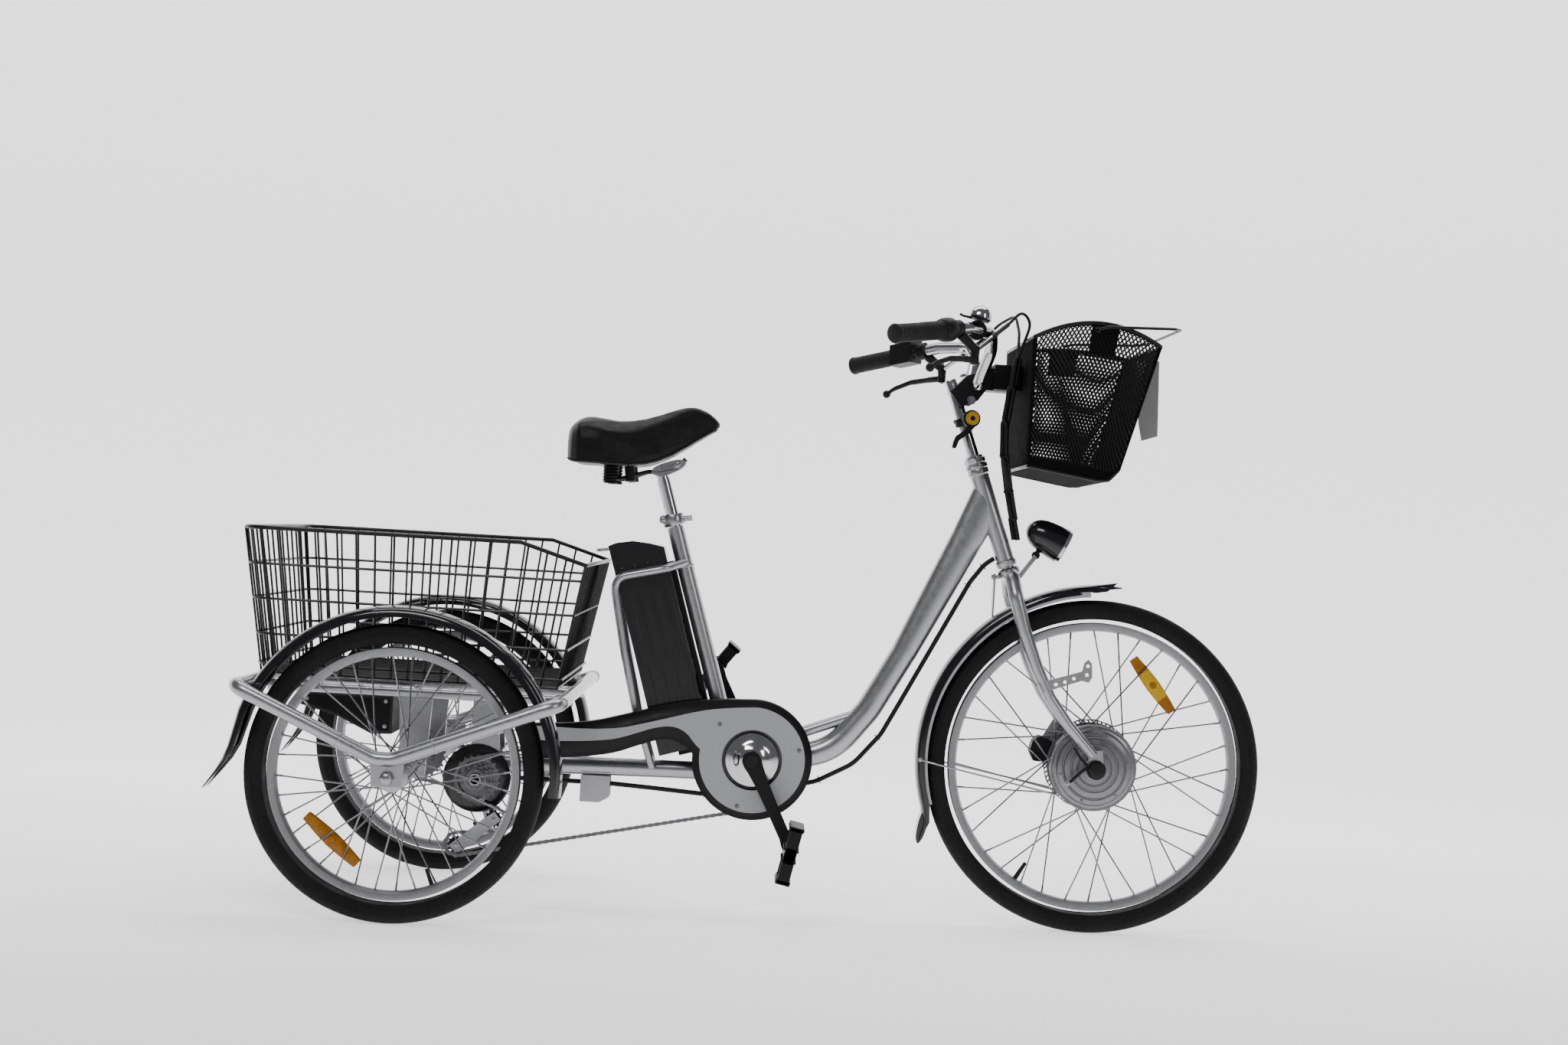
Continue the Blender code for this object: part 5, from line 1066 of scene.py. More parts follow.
def hub_motor():
    shape = Shape(HUB)
    profile = [(0.0072, -0.0500), (0.0185, -0.0500), (0.0200, -0.0490), (0.0205, -0.0455), (0.0290, -0.0450)]
    profile += [(0.0300, -0.0435), (0.0315, -0.0435), (0.0325, -0.0448), (0.0400, -0.0445),
                (0.0410, -0.0425)]
    profile += [(0.0435, -0.0425), (0.0445, -0.0440), (0.0540, -0.0425), (0.0555, -0.0400),
                (0.0575, -0.0400)]
    profile += [(0.0585, -0.0412), (0.0660, -0.0390), (0.0690, -0.0355), (0.0735, -0.0340),
                (0.0752, -0.0310)]
    profile += [(0.0752, 0.0310), (0.0735, 0.0345), (0.0680, 0.0380), (0.0480, 0.0410), (0.0340, 0.0420)]
    profile += [(0.0300, 0.0460), (0.0072, 0.0460)]
    shape.turned(profile, FRONT_AXLE, Y, 128, ring=True)
    shape.use(STEEL)
    for k in range(6):
        spot = FRONT_AXLE + direction(60 * k + 12) * 0.0620
        shape.turned([(0, -0.0010), (0.0026, -0.0010), (0.0026, 0.0010), (0, 0.0014)], spot - Y * 0.0400, -Y,
                     16)
    shape.done("hub_motor_case", "front_wheel", ["hub_motor"], angle=25)


def brake_rotor():
    """A disc with a ring of slanted slots near its edge, held by six arms."""
    shape = Shape(BRIGHT_STEEL)
    low, high = 0.0466, 0.0484

    def hoop_between(inner, outer, wave=0.0):
        steps = 144
        rings = []
        for k in range(steps):
            a = 360 * k / steps
            reach = outer - wave * (1 if (k // 4) % 2 else 0)
            edge = ((inner, low), (reach, low), (reach, high), (inner, high))
            rings.append([FRONT_AXLE + direction(a) * radius + Y * y for radius, y in edge])
        shape.rings(rings, closed=True)

    def bar(angle, lean, inner, outer, half, flare=1.0):
        start = FRONT_AXLE + direction(angle) * inner
        end = FRONT_AXLE + direction(angle + lean) * outer
        across = quarter_turn((end - start).normalized()) * half
        shape.prism([start + across * flare, end + across, end - across, start - across * flare], low, high)

    hoop_between(0.0805, 0.0836, 0.0009)
    hoop_between(0.0625, 0.0652)
    for k in range(60):
        bar(6 * k, 9, 0.0645, 0.0812, 0.0016)
    for k in range(6):
        bar(60 * k, 28, 0.0230, 0.0632, 0.0045, 1.3)
    shape.washer(FRONT_AXLE + Y * 0.0475, Y, 0.0170, 0.0270, 0.0009, 48)
    shape.done("rotor", "front_wheel", ["brake_rotor"])


def front_axle():
    shape = Shape(RUBBER)
    for side in (-1, 1):
        cap = [(0.0, 0.0915), (0.0100, 0.0910), (0.0135, 0.0890), (0.0150, 0.0850), (0.0158, 0.0720),
               (0.0, 0.0720)]
        shape.turned([(radius, along) for radius, along in cap], FRONT_AXLE, Y * side, 6)
        shape.turned([(0.0, 0.0700), (0.0172, 0.0700), (0.0172, 0.0735), (0.0, 0.0735)], FRONT_AXLE,
                     Y * side, 28)
    shape.use(BRIGHT_STEEL)
    shape.tube([FRONT_AXLE + Y * -0.0720, FRONT_AXLE + Y * 0.0720], 0.0059, 16)
    shape.use(RUBBER)
    for side in (-1, 1):
        arm = [(1.2150, side * 0.0690, 0.309), (1.2040, side * 0.0690, 0.304),
               (1.1830, side * 0.0690, 0.283), (1.1760, side * 0.0690, 0.278)]
        shape.tube(rounded(arm, 0.006, 4), 0.0030, 12)
        arm = [(1.2130, side * 0.0690, 0.3105), (1.1985, side * 0.0690, 0.324),
               (1.1850, side * 0.0690, 0.343)]
        shape.tube(rounded(arm, 0.006, 4), 0.0022, 12)
    shape.use(BRIGHT_STEEL)
    shape.bolt((1.1765, -0.0712, 0.2785), -Y, 0.0038, 0.0030)
    shape.done("axle_nuts", "steering", ["front_axle"], bevel=0.0006)


def rear_axle():
    shape = Shape(BRIGHT_STEEL)
    shape.tube([REAR_AXLE + Y * -0.4000, REAR_AXLE + Y * 0.4000], 0.0079, 24)
    for side in (-1, 1):
        nut = [(0.0, 0.4075), (0.0060, 0.4070), (0.0100, 0.4045), (0.0118, 0.4020), (0.0125, 0.3942),
               (0.0, 0.3942)]
        shape.turned(nut, REAR_AXLE, Y * side, 6)
    shape.use(STEEL)
    toothed(shape, REAR_AXLE, AXLE_CHAIN_Y, 0.0380, 0.0425, 20, 0.0012)
    shape.disc(REAR_AXLE, AXLE_CHAIN_Y, 0.0070, 0.0200)
    shape.done("rear_axle_bar", "drive_wheel", ["rear_axle"], bevel=0.0004)


# ---------------------------------------------------------------- fork and front mudguard
def fork():
    shape = Shape(SILVER)
    shape.tube([on_steer(0.640), on_steer(0.8400)], 0.0127, 28)
    crown = on_steer(0.6460)
    for side in (RIGHT, LEFT):
        path = [crown, crown + Y * (side * 0.040), (1.0655, side * 0.0600, 0.610)]
        path += [(1.0850, side * 0.0620, 0.546), (1.1110, side * 0.0620, 0.482),
                 (1.1370, side * 0.0620, 0.431), (1.1730, side * 0.0620, 0.383)]
        path = rounded(path + [(1.222, side * 0.0610, 0.330)], 0.030, 8)
        radii = []
        for point in path:
            share = min(max((0.60 - point.z) / 0.27, 0.0), 1.0)
            radii.append(0.0136 - 0.0042 * share)
        shape.tube(path, radii, 28)
        low, high = sorted((side * 0.0575, side * 0.0645))
        tab = [(1.213, 0.340), (1.238, 0.340), (1.243, 0.300), (1.236, 0.292), (1.218, 0.292),
               (1.212, 0.300)]
        shape.plate(tab, low, high)
    shape.torus(crown + STEER_AXIS * 0.006, STEER_AXIS, 0.0140, 0.0030)
    brake_tab = [(1.166, 0.392), (1.190, 0.366), (1.146, 0.316), (1.130, 0.328)]
    shape.plate(brake_tab, 0.0670, 0.0705)
    shape.use(BRIGHT_STEEL)
    strap = [(1.112, 0.456), (1.124, 0.440), (1.192, 0.465), (1.204, 0.462), (1.210, 0.472), (1.208, 0.497)]
    strap += [(1.201, 0.504), (1.194, 0.497), (1.191, 0.482)]
    spots = ((1.145, 0.4555), (1.161, 0.461), (1.177, 0.468), (1.200, 0.476), (1.201, 0.492))
    holes = [arc(Vector((x, 0, z)), 0.0032, 0, 345, 23) for x, z in spots]
    shape.pierced(strap, holes, -0.0722, -0.0702)
    lamp = [(1.066, 0.640), (1.072, 0.634), (1.1055, 0.682), (1.0990, 0.687)]
    shape.plate(lamp, -0.0085, -0.0065)
    shape.turned([(0.0195, 0), (0.0205, 0.002), (0.0205, 0.010), (0.0170, 0.0125), (0.0130, 0.0125),
                  (0.0130, 0)],
                 on_steer(0.6480), STEER_AXIS, 40, ring=True)
    shape.done("fork_legs", "steering", ["fork"], bevel=0.0006)


def headset():
    shape = Shape(ALLOY)
    low = on_steer(0.8386)
    shape.turned([(0.0131, 0), (0.0200, 0), (0.0206, 0.0015), (0.0200, 0.0075), (0.0180, 0.0085),
                  (0.0180, 0.0100), (0.0131, 0.0100)], low, STEER_AXIS, 40, ring=True)
    shape.turned([(0.0131, 0.0102), (0.0192, 0.0102), (0.0196, 0.0112), (0.0196, 0.0180), (0.0180, 0.0195),
                  (0.0131, 0.0195)], low, STEER_AXIS, 8, ring=True)
    shape.turned([(0.0131, 0.0196), (0.0165, 0.0196), (0.0160, 0.0235), (0.0131, 0.0245)], low, STEER_AXIS,
                 32, ring=True)
    shape.done("headset_rings", "steering", ["headset_nut"])


def front_mudguard():
    shape = Shape(GLOSS)
    frames = []
    for step in range(57):
        angle = 84 + 2 * step
        radius = 0.334 - 0.011 * (angle - 84) / 112
        frames.append((FRONT_AXLE + direction(angle) * radius, direction(angle)))
    for x, z, tilt in ((0.9225, 0.186, 190), (0.9170, 0.166, 187), (0.914, 0.148, 183)):
        frames.append((Vector((x, 0, z)), direction(tilt)))
    rings = []
    for i, (point, outward) in enumerate(frames):
        flat = max(0.0, 1.0 - i / 7.0, (i - len(frames) + 4) / 3.0)
        section = mudguard_section(0.0315 - 0.010 * flat, 0.0170 - 0.0135 * flat, 0.0020)
        rings.append([Vector(point) + Vector(outward) * out + Y * y for out, y in section])
    shape.rings(rings)
    shape.use(GREY)
    for side in (-1, 1):
        low, high = sorted((side * 0.0290, side * 0.0305))
        shape.swept([(-0.0120, low), (-0.0120, high), (-0.0220, high), (-0.0220, low)], frames[5:-3])
    shape.use(GLOSS)
    flap = smooth_path([(0.9250, 0.215), (0.9300, 0.203), (0.9320, 0.186), (0.9270, 0.164), (0.9190, 0.1490),
                        (0.9140, 0.1490),
                        (0.9110, 0.158), (0.9130, 0.180), (0.9180, 0.200), (0.9250, 0.215)])[:-1]
    shape.plate(flap, -0.0200, 0.0200)
    fin = [(1.1950, 0.6345), (1.2250, 0.6390), (1.2545, 0.6440), (1.2360, 0.6270), (1.2150, 0.6235),
           (1.1950, 0.6250)]
    shape.plate(fin, -0.0190, 0.0190)
    shape.use(BRIGHT_STEEL)
    shape.block((1.0282, -0.011, 0.5690), (1.0312, 0.011, 0.648))
    shape.bolt((1.0282, 0, 0.6415), -X, 0.0050, 0.0045)
    shape.tube([(1.0312, 0, 0.6415), (1.0440, 0, 0.6440)], 0.0038, 12)
    for side in (RIGHT, LEFT):
        ends = ((0.9120, 0.0312, 0.302), (0.9240, 0.0370, 0.2995), (0.9400, 0.0420, 0.2968),
                (1.160, 0.0655, 0.2560))
        shape.tube(rounded([mirrored(p, side) for p in ends], 0.02), 0.0017, 10)
        shape.bolt(mirrored((0.9110, 0.0305, 0.302), side), Y * side, 0.0030, 0.0028)
    shape.done("front_mudguard_shell", "steering", ["front_mudguard"])


def caliper():
    shape = Shape(PLASTIC)
    out, along = Vector((-0.97, 0, 0.243)), Vector((0.243, 0, 0.97))

    def outline(corners):
        points = [FRONT_AXLE + out * radial + along * tangent for radial, tangent in corners]
        return [(point.x, point.z) for point in points]

    jaw = [(0.0768, -0.020), (0.100, -0.024), (0.112, -0.010), (0.112, 0.012), (0.102, 0.024),
           (0.0768, 0.020)]
    shape.plate(outline(jaw), 0.0500, 0.0665)
    shape.plate(outline(jaw), 0.0330, 0.0450)
    back = [(0.0860, -0.018), (0.100, -0.020), (0.110, -0.008), (0.110, 0.010), (0.100, 0.020),
            (0.0860, 0.018)]
    shape.plate(outline(back), 0.0445, 0.0505)
    spot = FRONT_AXLE + out * 0.094
    shape.use(BRIGHT_STEEL)
    shape.bolt(spot + along * 0.012 + Y * 0.0660, Y, 0.0032, 0.0028)
    shape.bolt(spot - along * 0.012 + Y * 0.0660, Y, 0.0032, 0.0028)
    shape.done("caliper", "steering", ["brake_caliper"], bevel=0.0012)


LAMP_PIVOT = Vector((1.1030, 0.0, 0.6860))
LAMP_AXIS = Vector((0.899, 0.0, -0.438)).normalized()
LAMP_FRONT = Vector((1.150, 0.0, 0.706))


def headlight_case():
    shape = Shape(GLOSS)
    profile = [(0.0, -0.0720), (0.0060, -0.0712), (0.0130, -0.0680), (0.0190, -0.0630), (0.0240, -0.0560)]
    profile += [(0.0280, -0.0450), (0.0303, -0.0320), (0.0318, -0.0160), (0.0325, -0.0030), (0.0325, 0.0)]
    profile += [(0.0300, 0.0), (0.0280, -0.010), (0.0, -0.0300)]
    shape.turned(profile, LAMP_FRONT, LAMP_AXIS, 56)
    shape.use(PLASTIC)
    shape.tube([LAMP_PIVOT - Y * 0.0060, LAMP_PIVOT + Y * 0.0060], 0.0074, 24)
    shape.tube([LAMP_PIVOT, LAMP_PIVOT + Vector((0.010, 0, 0.018))], 0.0045, 14)
    shape.use(CHROME)
    shape.turned([(0.0, -0.0295), (0.0120, -0.0240), (0.0275, -0.0095), (0.0300, -0.0004), (0.0305, 0.0),
                  (0.0, -0.0310)],
                 LAMP_FRONT, LAMP_AXIS, 48)
    shape.done("headlight_case", "headlight", ["headlight_shell"], angle=30)


def headlight_glass():
    glass = Shape(LENS)
    glass.turned([(0.0, 0.0004), (0.0300, 0.0004), (0.0320, 0.0010), (0.0322, 0.0050), (0.0300, 0.0072),
                  (0.0, 0.0088)],
                 LAMP_FRONT, LAMP_AXIS, 56)
    glass.use(CHROME)
    glass.washer(LAMP_FRONT + LAMP_AXIS * 0.0030, LAMP_AXIS, 0.0316, 0.0325, 0.0026, 56)
    glass.done("headlight_glass", "headlight", ["headlight_lens"])


# ---------------------------------------------------------------- handlebar
BAR_POINTS = [(0.972, 0.000, 0.988), (0.972, 0.048, 0.989), (0.986, 0.088, 1.046), (0.979, 0.128, 1.074),
              (0.930, 0.175, 1.075), (0.784, 0.298, 1.043)]
BAR_TIP = Vector(BAR_POINTS[-1])
GRIP_AXIS = (BAR_TIP - Vector(BAR_POINTS[-2])).normalized()
ADJUSTER_TIP = Vector((1.0080, 0.1260, 1.0920))
PIVOT = {name: mirrored((0.9400, 0.1880, 1.0280), side) for name, side in SIDES}


def along_grip(side, distance):
    return mirrored(BAR_TIP - GRIP_AXIS * distance, side)


def handlebar():
    shape = Shape(CHROME)
    left = [Vector(point) for point in BAR_POINTS]
    right = [mirrored(point, RIGHT) for point in reversed(left[1:])]
    shape.tube(rounded(right + left, 0.040, 12), 0.0111, 28)
    shape.done("handlebar_tube", "steering", ["handlebar"], bars=True)


def stem():
    post = Shape(CHROME)
    post.tube([on_steer(0.784), on_steer(0.996), on_steer(0.998)], [0.0110, 0.0110, 0.0100], 32)
    post.done("stem_post", "steering", ["stem"], bars=True)


def ribs(start, stop, root, crest):
    """Profile points of ribs along a grip, from a start until a stop."""
    points = []
    while start < stop:
        points += [(root, start), (crest, start + 0.0008), (crest, start + 0.0026), (root, start + 0.0034)]
        start += 0.0046
    return points


def grip(name, side, end):
    """A rubber grip with fine ribs and a flared cap."""
    shape = Shape(RUBBER)
    profile = [(0.0, -0.0060), (0.0120, -0.0060), (0.0160, -0.0045), (0.0172, -0.0020), (0.0172, 0.0010),
               (0.0158, 0.0035)]
    profile += ribs(0.006, end - 0.004, 0.0153, 0.0160)
    profile += [(0.0165, end - 0.0010), (0.0165, end), (0.0117, end), (0.0117, -0.0003), (0.0, -0.0003)]
    shape.turned(profile, along_grip(side, 0.0), -mirrored(GRIP_AXIS, side), 40)
    shape.done(name + "_rubber", "steering", [name], bars=True, angle=60)


def throttle_grip():
    shape = Shape(RUBBER)
    profile = [(0.0117, 0.0686), (0.0155, 0.0686), (0.0160, 0.0695)]
    profile += ribs(0.0710, 0.1110, 0.0158, 0.0166)
    profile += [(0.0176, 0.1140), (0.0176, 0.1154), (0.0117, 0.1154)]
    shape.turned(profile, along_grip(RIGHT, 0.0), -mirrored(GRIP_AXIS, RIGHT), 40, ring=True)
    shape.done("throttle_rubber", "throttle", ["throttle_grip"], bars=True, angle=60)


def throttle_housing():
    case = Shape(PLASTIC)
    profile = [(0.0117, 0.1161), (0.0180, 0.1161), (0.0192, 0.1172), (0.0212, 0.1250), (0.0215, 0.1290),
               (0.0215, 0.1400)]
    profile += [(0.0205, 0.1436), (0.0190, 0.1439), (0.0117, 0.1439)]
    case.turned(profile, along_grip(RIGHT, 0.0), -mirrored(GRIP_AXIS, RIGHT), 40, ring=True)
    case.done("throttle_case", "steering", ["throttle_housing"], bars=True)


def stem_clamp():
    shape = Shape(PLASTIC)
    outline = [(0.926, 0.975), (0.948, 0.948), (0.978, 0.962), (0.992, 0.982), (1.0535, 0.982),
               (1.0535, 1.026)]
    shape.plate(outline + [(0.992, 1.022), (0.972, 1.0115), (0.958, 1.008)], -0.021, 0.021)
    shape.block((1.004, -0.036, 0.983), (1.0535, 0.036, 1.029))
    shape.use(STEEL)
    for y in (-0.0270, 0.0210):
        shape.bolt((0.966, y if y > 0 else -0.0210, 0.962), Y if y > 0 else -Y, 0.0060, 0.0055)
    shape.bolt((0.952, 0, 1.0060), Vector((-0.35, 0, 0.94)), 0.0055, 0.0050)
    shape.use(PLASTIC)
    for y in (-0.0363, 0.0363):
        shape.plate([(1.012, 0.990), (1.047, 0.990), (1.047, 1.022), (1.012, 1.022)], y - 0.0004, y + 0.0004)
    shape.done("stem_clamp_body", "steering", ["stem_clamp"], bars=True,
                      bevel=0.0022)


def brake_bracket(name, side):
    axis = mirrored(GRIP_AXIS, side)
    middle = along_grip(side, 0.158)
    shape = Shape(PLASTIC)
    shape.turned([(0.0114, 0.150), (0.0155, 0.150), (0.0162, 0.1508), (0.0162, 0.1652), (0.0155, 0.166),
                  (0.0114, 0.166)],
                 along_grip(side, 0.0), -axis, 36, ring=True)
    shape.tube([middle + Vector((0.010, 0, -0.010)), PIVOT[name] + Vector((0, 0, 0.0085))], [0.0092, 0.0080],
               20)
    boss = [(0, -0.0027), (0.0074, -0.0027), (0.0080, -0.0020), (0.0084, 0.0060), (0.0078, 0.0140),
            (0, 0.0150)]
    shape.turned(boss, PIVOT[name], Z, 28)
    tip = mirrored(ADJUSTER_TIP, side)
    start = PIVOT[name] + Vector((0, 0, 0.006))
    along = (tip - start).normalized()
    shape.use(CHROME)
    reach = (tip - start).length
    shape.tube([start, start + along * (reach * 0.55)], 0.0046, 16)
    shape.use(PLASTIC)
    shape.turned([(0, reach * 0.50), (0.0052, reach * 0.50), (0.0052, reach * 0.62), (0.0040, reach * 0.64),
                  (0.0040, reach * 0.99), (0, reach)], start, along, 18)
    shape.use(BRIGHT_STEEL)
    shape.bolt(PIVOT[name] + Vector((0, 0, 0.0165)), Z, 0.0040, 0.0030)
    shape.done("lever_bracket_" + name, "steering", ["brake_bracket_" + name], bars=True)


def brake_lever(name, side):
    points = [(0.9400, 0.1880, 1.0180), (0.9180, 0.2130, 1.0160), (0.8880, 0.2450, 1.0120)]
    points += [(0.8600, 0.2720, 1.0000), (0.8480, 0.2850, 0.9900)]
    path = rounded([mirrored(point, side) for point in points], 0.06, 6)
    lever = Shape(PLASTIC)
    count = len(path) - 1
    lever.tube(path, [0.0060 - 0.0022 * i / count for i in range(count + 1)], 16)
    ball = [(0.0, -0.0080), (0.0040, -0.0069), (0.0069, -0.0040), (0.0080, 0.0), (0.0069, 0.0040),
            (0.0040, 0.0069)]
    lever.turned(ball + [(0.0, 0.0080)], path[-1], Z, 20)
    lever.turned([(0, -0.0078), (0.0072, -0.0078), (0.0078, -0.0070), (0.0078, 0.0060), (0.0072, 0.0068),
                  (0, 0.0068)],
                 path[0], Z, 24)
    lever.use(BRIGHT_STEEL)
    lever.bolt(path[0] + Vector((0, 0, -0.0078)), -Z, 0.0030, 0.0022)
    lever.done("lever_blade_" + name, "lever_" + name, ["brake_lever_" + name],
                      bars=True)


def control_unit():
    shape = Shape(PLASTIC)
    across = GRIP_AXIS.cross(Z).normalized()
    rings = []
    for distance in (0.0962, 0.1438):
        middle = along_grip(LEFT, distance)
        corners = ((-0.018, -0.020), (0.026, -0.020), (0.026, 0.020), (-0.018, 0.026))
        rings.append([middle - across * a + Z * b for a, b in corners])
    shape.rings(rings)
    shape.use(GLOSS)
    middle = along_grip(LEFT, 0.120)
    face = [(-0.013, 0.0262), (0.021, 0.0216)]
    low = [middle - across * face[0][0] + Z * face[0][1], middle - across * face[1][0] + Z * face[1][1]]
    ring = [low[0] - GRIP_AXIS * 0.016, low[1] - GRIP_AXIS * 0.016, low[1] + GRIP_AXIS * 0.016,
            low[0] + GRIP_AXIS * 0.016]
    shape.rings([ring, [p + Z * 0.0012 for p in ring]])
    shape.done("control_unit_case", "steering", ["control_unit"], bars=True,
                      bevel=0.0035)


def bell():
    shape = Shape(CHROME)
    centre = Vector((0.9460, -0.1580, 1.0740))
    top = centre + Vector((0.004, 0.0, 0.018))
    dome = [(0.0, 0.0260), (0.0055, 0.0254), (0.0105, 0.0236), (0.0150, 0.0205), (0.0182, 0.0160),
            (0.0200, 0.0110)]
    dome += [(0.0205, 0.0060), (0.0205, 0.0045), (0.0190, 0.0045), (0.0, 0.0045)]
    shape.turned(dome, top, (0.25, 0, 1), 48)
    shape.use(PLASTIC)
    shape.turned([(0.0, 0.0), (0.0170, 0.0), (0.0180, 0.0040), (0.0, 0.0040)], top, (0.25, 0, 1), 36)
    shape.tube([centre + Vector((0.0, -0.006, 0.0)), centre + Vector((0.0, 0.006, 0.0))], 0.0175, 28)
    shape.tube([top + Vector((-0.014, 0, 0.004)), top + Vector((-0.030, -0.003, 0.006)),
                top + Vector((-0.036, -0.004, 0.009))], [0.0026, 0.0022, 0.0024], 12)
    shape.done("bell_dome", "steering", ["bell"], bars=True)


SHIFTER = Vector((0.9660, 0.0, 0.9270))


def shifter_case():
    shape = Shape(PLASTIC)
    shape.disc(SHIFTER, -0.0260, 0.0128, 0.0160, 40, 0.0015)
    low = on_steer(0.916)
    shape.turned([(0.0113, 0), (0.0145, 0), (0.0150, 0.001), (0.0150, 0.0135), (0.0145, 0.0145),
                  (0.0113, 0.0145)],
                 low, STEER_AXIS, 32, ring=True)
    shape.use(BRIGHT_STEEL)
    shape.bolt(on_steer(0.923) + Vector((-0.012, 0.010, 0)), Y, 0.0030, 0.0025)
    shape.done("shifter_case", "steering", ["shifter_body"], bars=True)


def shifter_lever():
    lever = Shape(PLASTIC)
    y = -0.0430
    lever.disc(SHIFTER, y, 0.0034, 0.0133, 40)
    blade = [(0.9740, 0.9160), (0.9600, 0.9160), (0.9500, 0.9030), (0.9370, 0.8930), (0.9330, 0.8830),
             (0.9310, 0.8730)]
    blade += [(0.9340, 0.8700), (0.9380, 0.8710), (0.9430, 0.8850), (0.9600, 0.8980)]
    lever.plate(blade, y - 0.0048, y + 0.0032)
    lever.use(YELLOW)
    lever.washer(SHIFTER + Y * (y - 0.0041), Y, 0.0046, 0.0122, 0.0009, 48)
    lever.use(PLASTIC)
    for k in range(16):
        spot = SHIFTER + direction(22.5 * k) * 0.0095
        lever.turned([(0, -0.0005), (0.0008, -0.0005), (0.0008, 0.0005), (0, 0.0005)],
                     spot + Y * (y - 0.0050), Y, 8)
    lever.done("shifter_thumb_lever", "shifter", ["shifter_lever"], bars=True,
                      bevel=0.0005)


# ---------------------------------------------------------------- front basket
def wall_point(share, level, side, inset=0.0):
    """A point of a side wall: share runs from back to front, level from floor to rim."""
    rear, front = 1.0585 + (1.0555 - 1.0585) * level, 1.2260 + (1.2860 - 1.2260) * level
    x = rear + (front - rear) * share
    half = 0.1245 + (0.1425 - 0.1245) * level
    half -= 0.006 * (2 * share - 1) ** 2
    bottom = 0.8420 - 0.0250 * share + 0.030 * max(0.0, (share - 0.80) / 0.20) ** 2
    crown = 0.0330 if side < 0 else 0.0120
    top = 1.0680 + 0.0060 * share + crown * (1 - (2 * share - 0.92) ** 2)
    top = min(top, 1.1045)
    return Vector((x, side * (half - inset), bottom + (top - bottom) * level))


def front_basket_mesh():
    mesh = Shape(MESH)
    low_share, high_share, step, slant = 0.012, 0.988, 0.034, 0.7254
    for side in (-1, 1):
        # Two crossing families of strands, clipped to the window of the side wall.
        for family in (-1, 1):
            for k in range(-28, 64):
                points = []
                for i in range(25):
                    level = 0.07 + 0.92 * i / 24
                    share = k * step + family * level * slant
                    if low_share <= share <= high_share:
                        points.append(wall_point(share, level, side, 0.0012 * family))
                if len(points) > 1:
                    mesh.tube(points, 0.0016, 4)
    mesh.done("front_basket_mesh", "steering", ["front_basket"], bars=True)


def front_basket_panels():
    panel = Shape(PANEL)

    def wall_panel(side, shares, levels, columns, rows):
        grid = []
        for j in range(columns + 1):
            share = shares[0] + (shares[1] - shares[0]) * j / columns
            heights = [levels[0] + (levels[1] - levels[0]) * i / rows for i in range(rows + 1)]
            grid.append([wall_point(share, level, side) for level in heights])
        panel.sheet(grid)

    for side in (-1, 1):
        for shares in ((0.0, 0.020), (0.975, 1.0)):
            wall_panel(side, shares, (0.0, 1.0), 8, 16)
        for levels in ((0.0, 0.085), (0.980, 1.0)):
            wall_panel(side, (0.01, 0.99), levels, 12, 3)
    for share in (0.0, 1.0):
        grid = []
        for j in range(13):
            t = j / 12
            bulge = X * (0.0012 * share * math.sin(math.pi * t))
            ends = [(wall_point(share, i / 16, -1), wall_point(share, i / 16, 1)) for i in range(17)]
            grid.append([a.lerp(b, t) + bulge for a, b in ends])
        panel.sheet(grid)
    grid = []
    for j in range(13):
        share = j / 12
        a, b = wall_point(share, 0, -1), wall_point(share, 0, 1)
        grid.append([a.lerp(b, i / 10) for i in range(11)])
    panel.sheet(grid)
    panel.done("front_basket_panels", "steering", ["front_basket"], bars=True, solidify=0.0022,
               angle=60)


def front_basket_rim():
    rim = Shape(WIRE)
    for level, count, corner, radius, sides in ((1.0, 16, 0.015, 0.0034, 12), (0.0, 8, 0.012, 0.0030, 10)):
        loop = [wall_point(j / count, level, -1) for j in range(count + 1)]
        loop += [wall_point(j / count, level, 1) for j in range(count, -1, -1)]
        rim.tube(rounded(loop + [loop[0]], corner, 4), radius, sides)
    rim.use(PANEL)
    for side in (-1, 1):
        rear, front = (0.44, 0.66) if side < 0 else (0.36, 0.60)
        patch = [wall_point(s, l, side) + Y * (side * 0.0020) for s, l in
                 ((rear, 0.99), (front, 0.99), (front, 0.80), (rear, 0.80))]
        rim.prism(patch, -side * 0.0006, side * 0.0006)
    rim.use(TAG)
    strap = [(1.262, 1.050), (1.3035, 1.052), (1.3085, 0.915), (1.279, 0.905), (1.272, 0.935)]
    rim.rings([[Vector((x, -0.052 + (1.052 - z) * 0.04 + y, z)) for x, z in strap] for y in (0.0, 0.0012)])
    rim.done("front_basket_rim", "steering", [], bars=True)


def basket_bail():
    bail = Shape(WIRE)
    left = [(1.165, 0.1545, 1.090), (1.185, 0.1545, 1.096), (1.306, 0.146, 1.101), (1.323, 0.120, 1.103)]
    path = [mirrored(point, RIGHT) for point in left] + [Vector(point) for point in reversed(left)]
    bail.tube(rounded(path, 0.02, 6), 0.0027, 10)
    for side in (-1, 1):
        bail.torus(Vector((1.165, side * 0.1535, 1.090)), Y, 0.0040, 0.0016, 20, 8)
    bail.done("basket_bail", "bail", ["basket_handle"], bars=True)


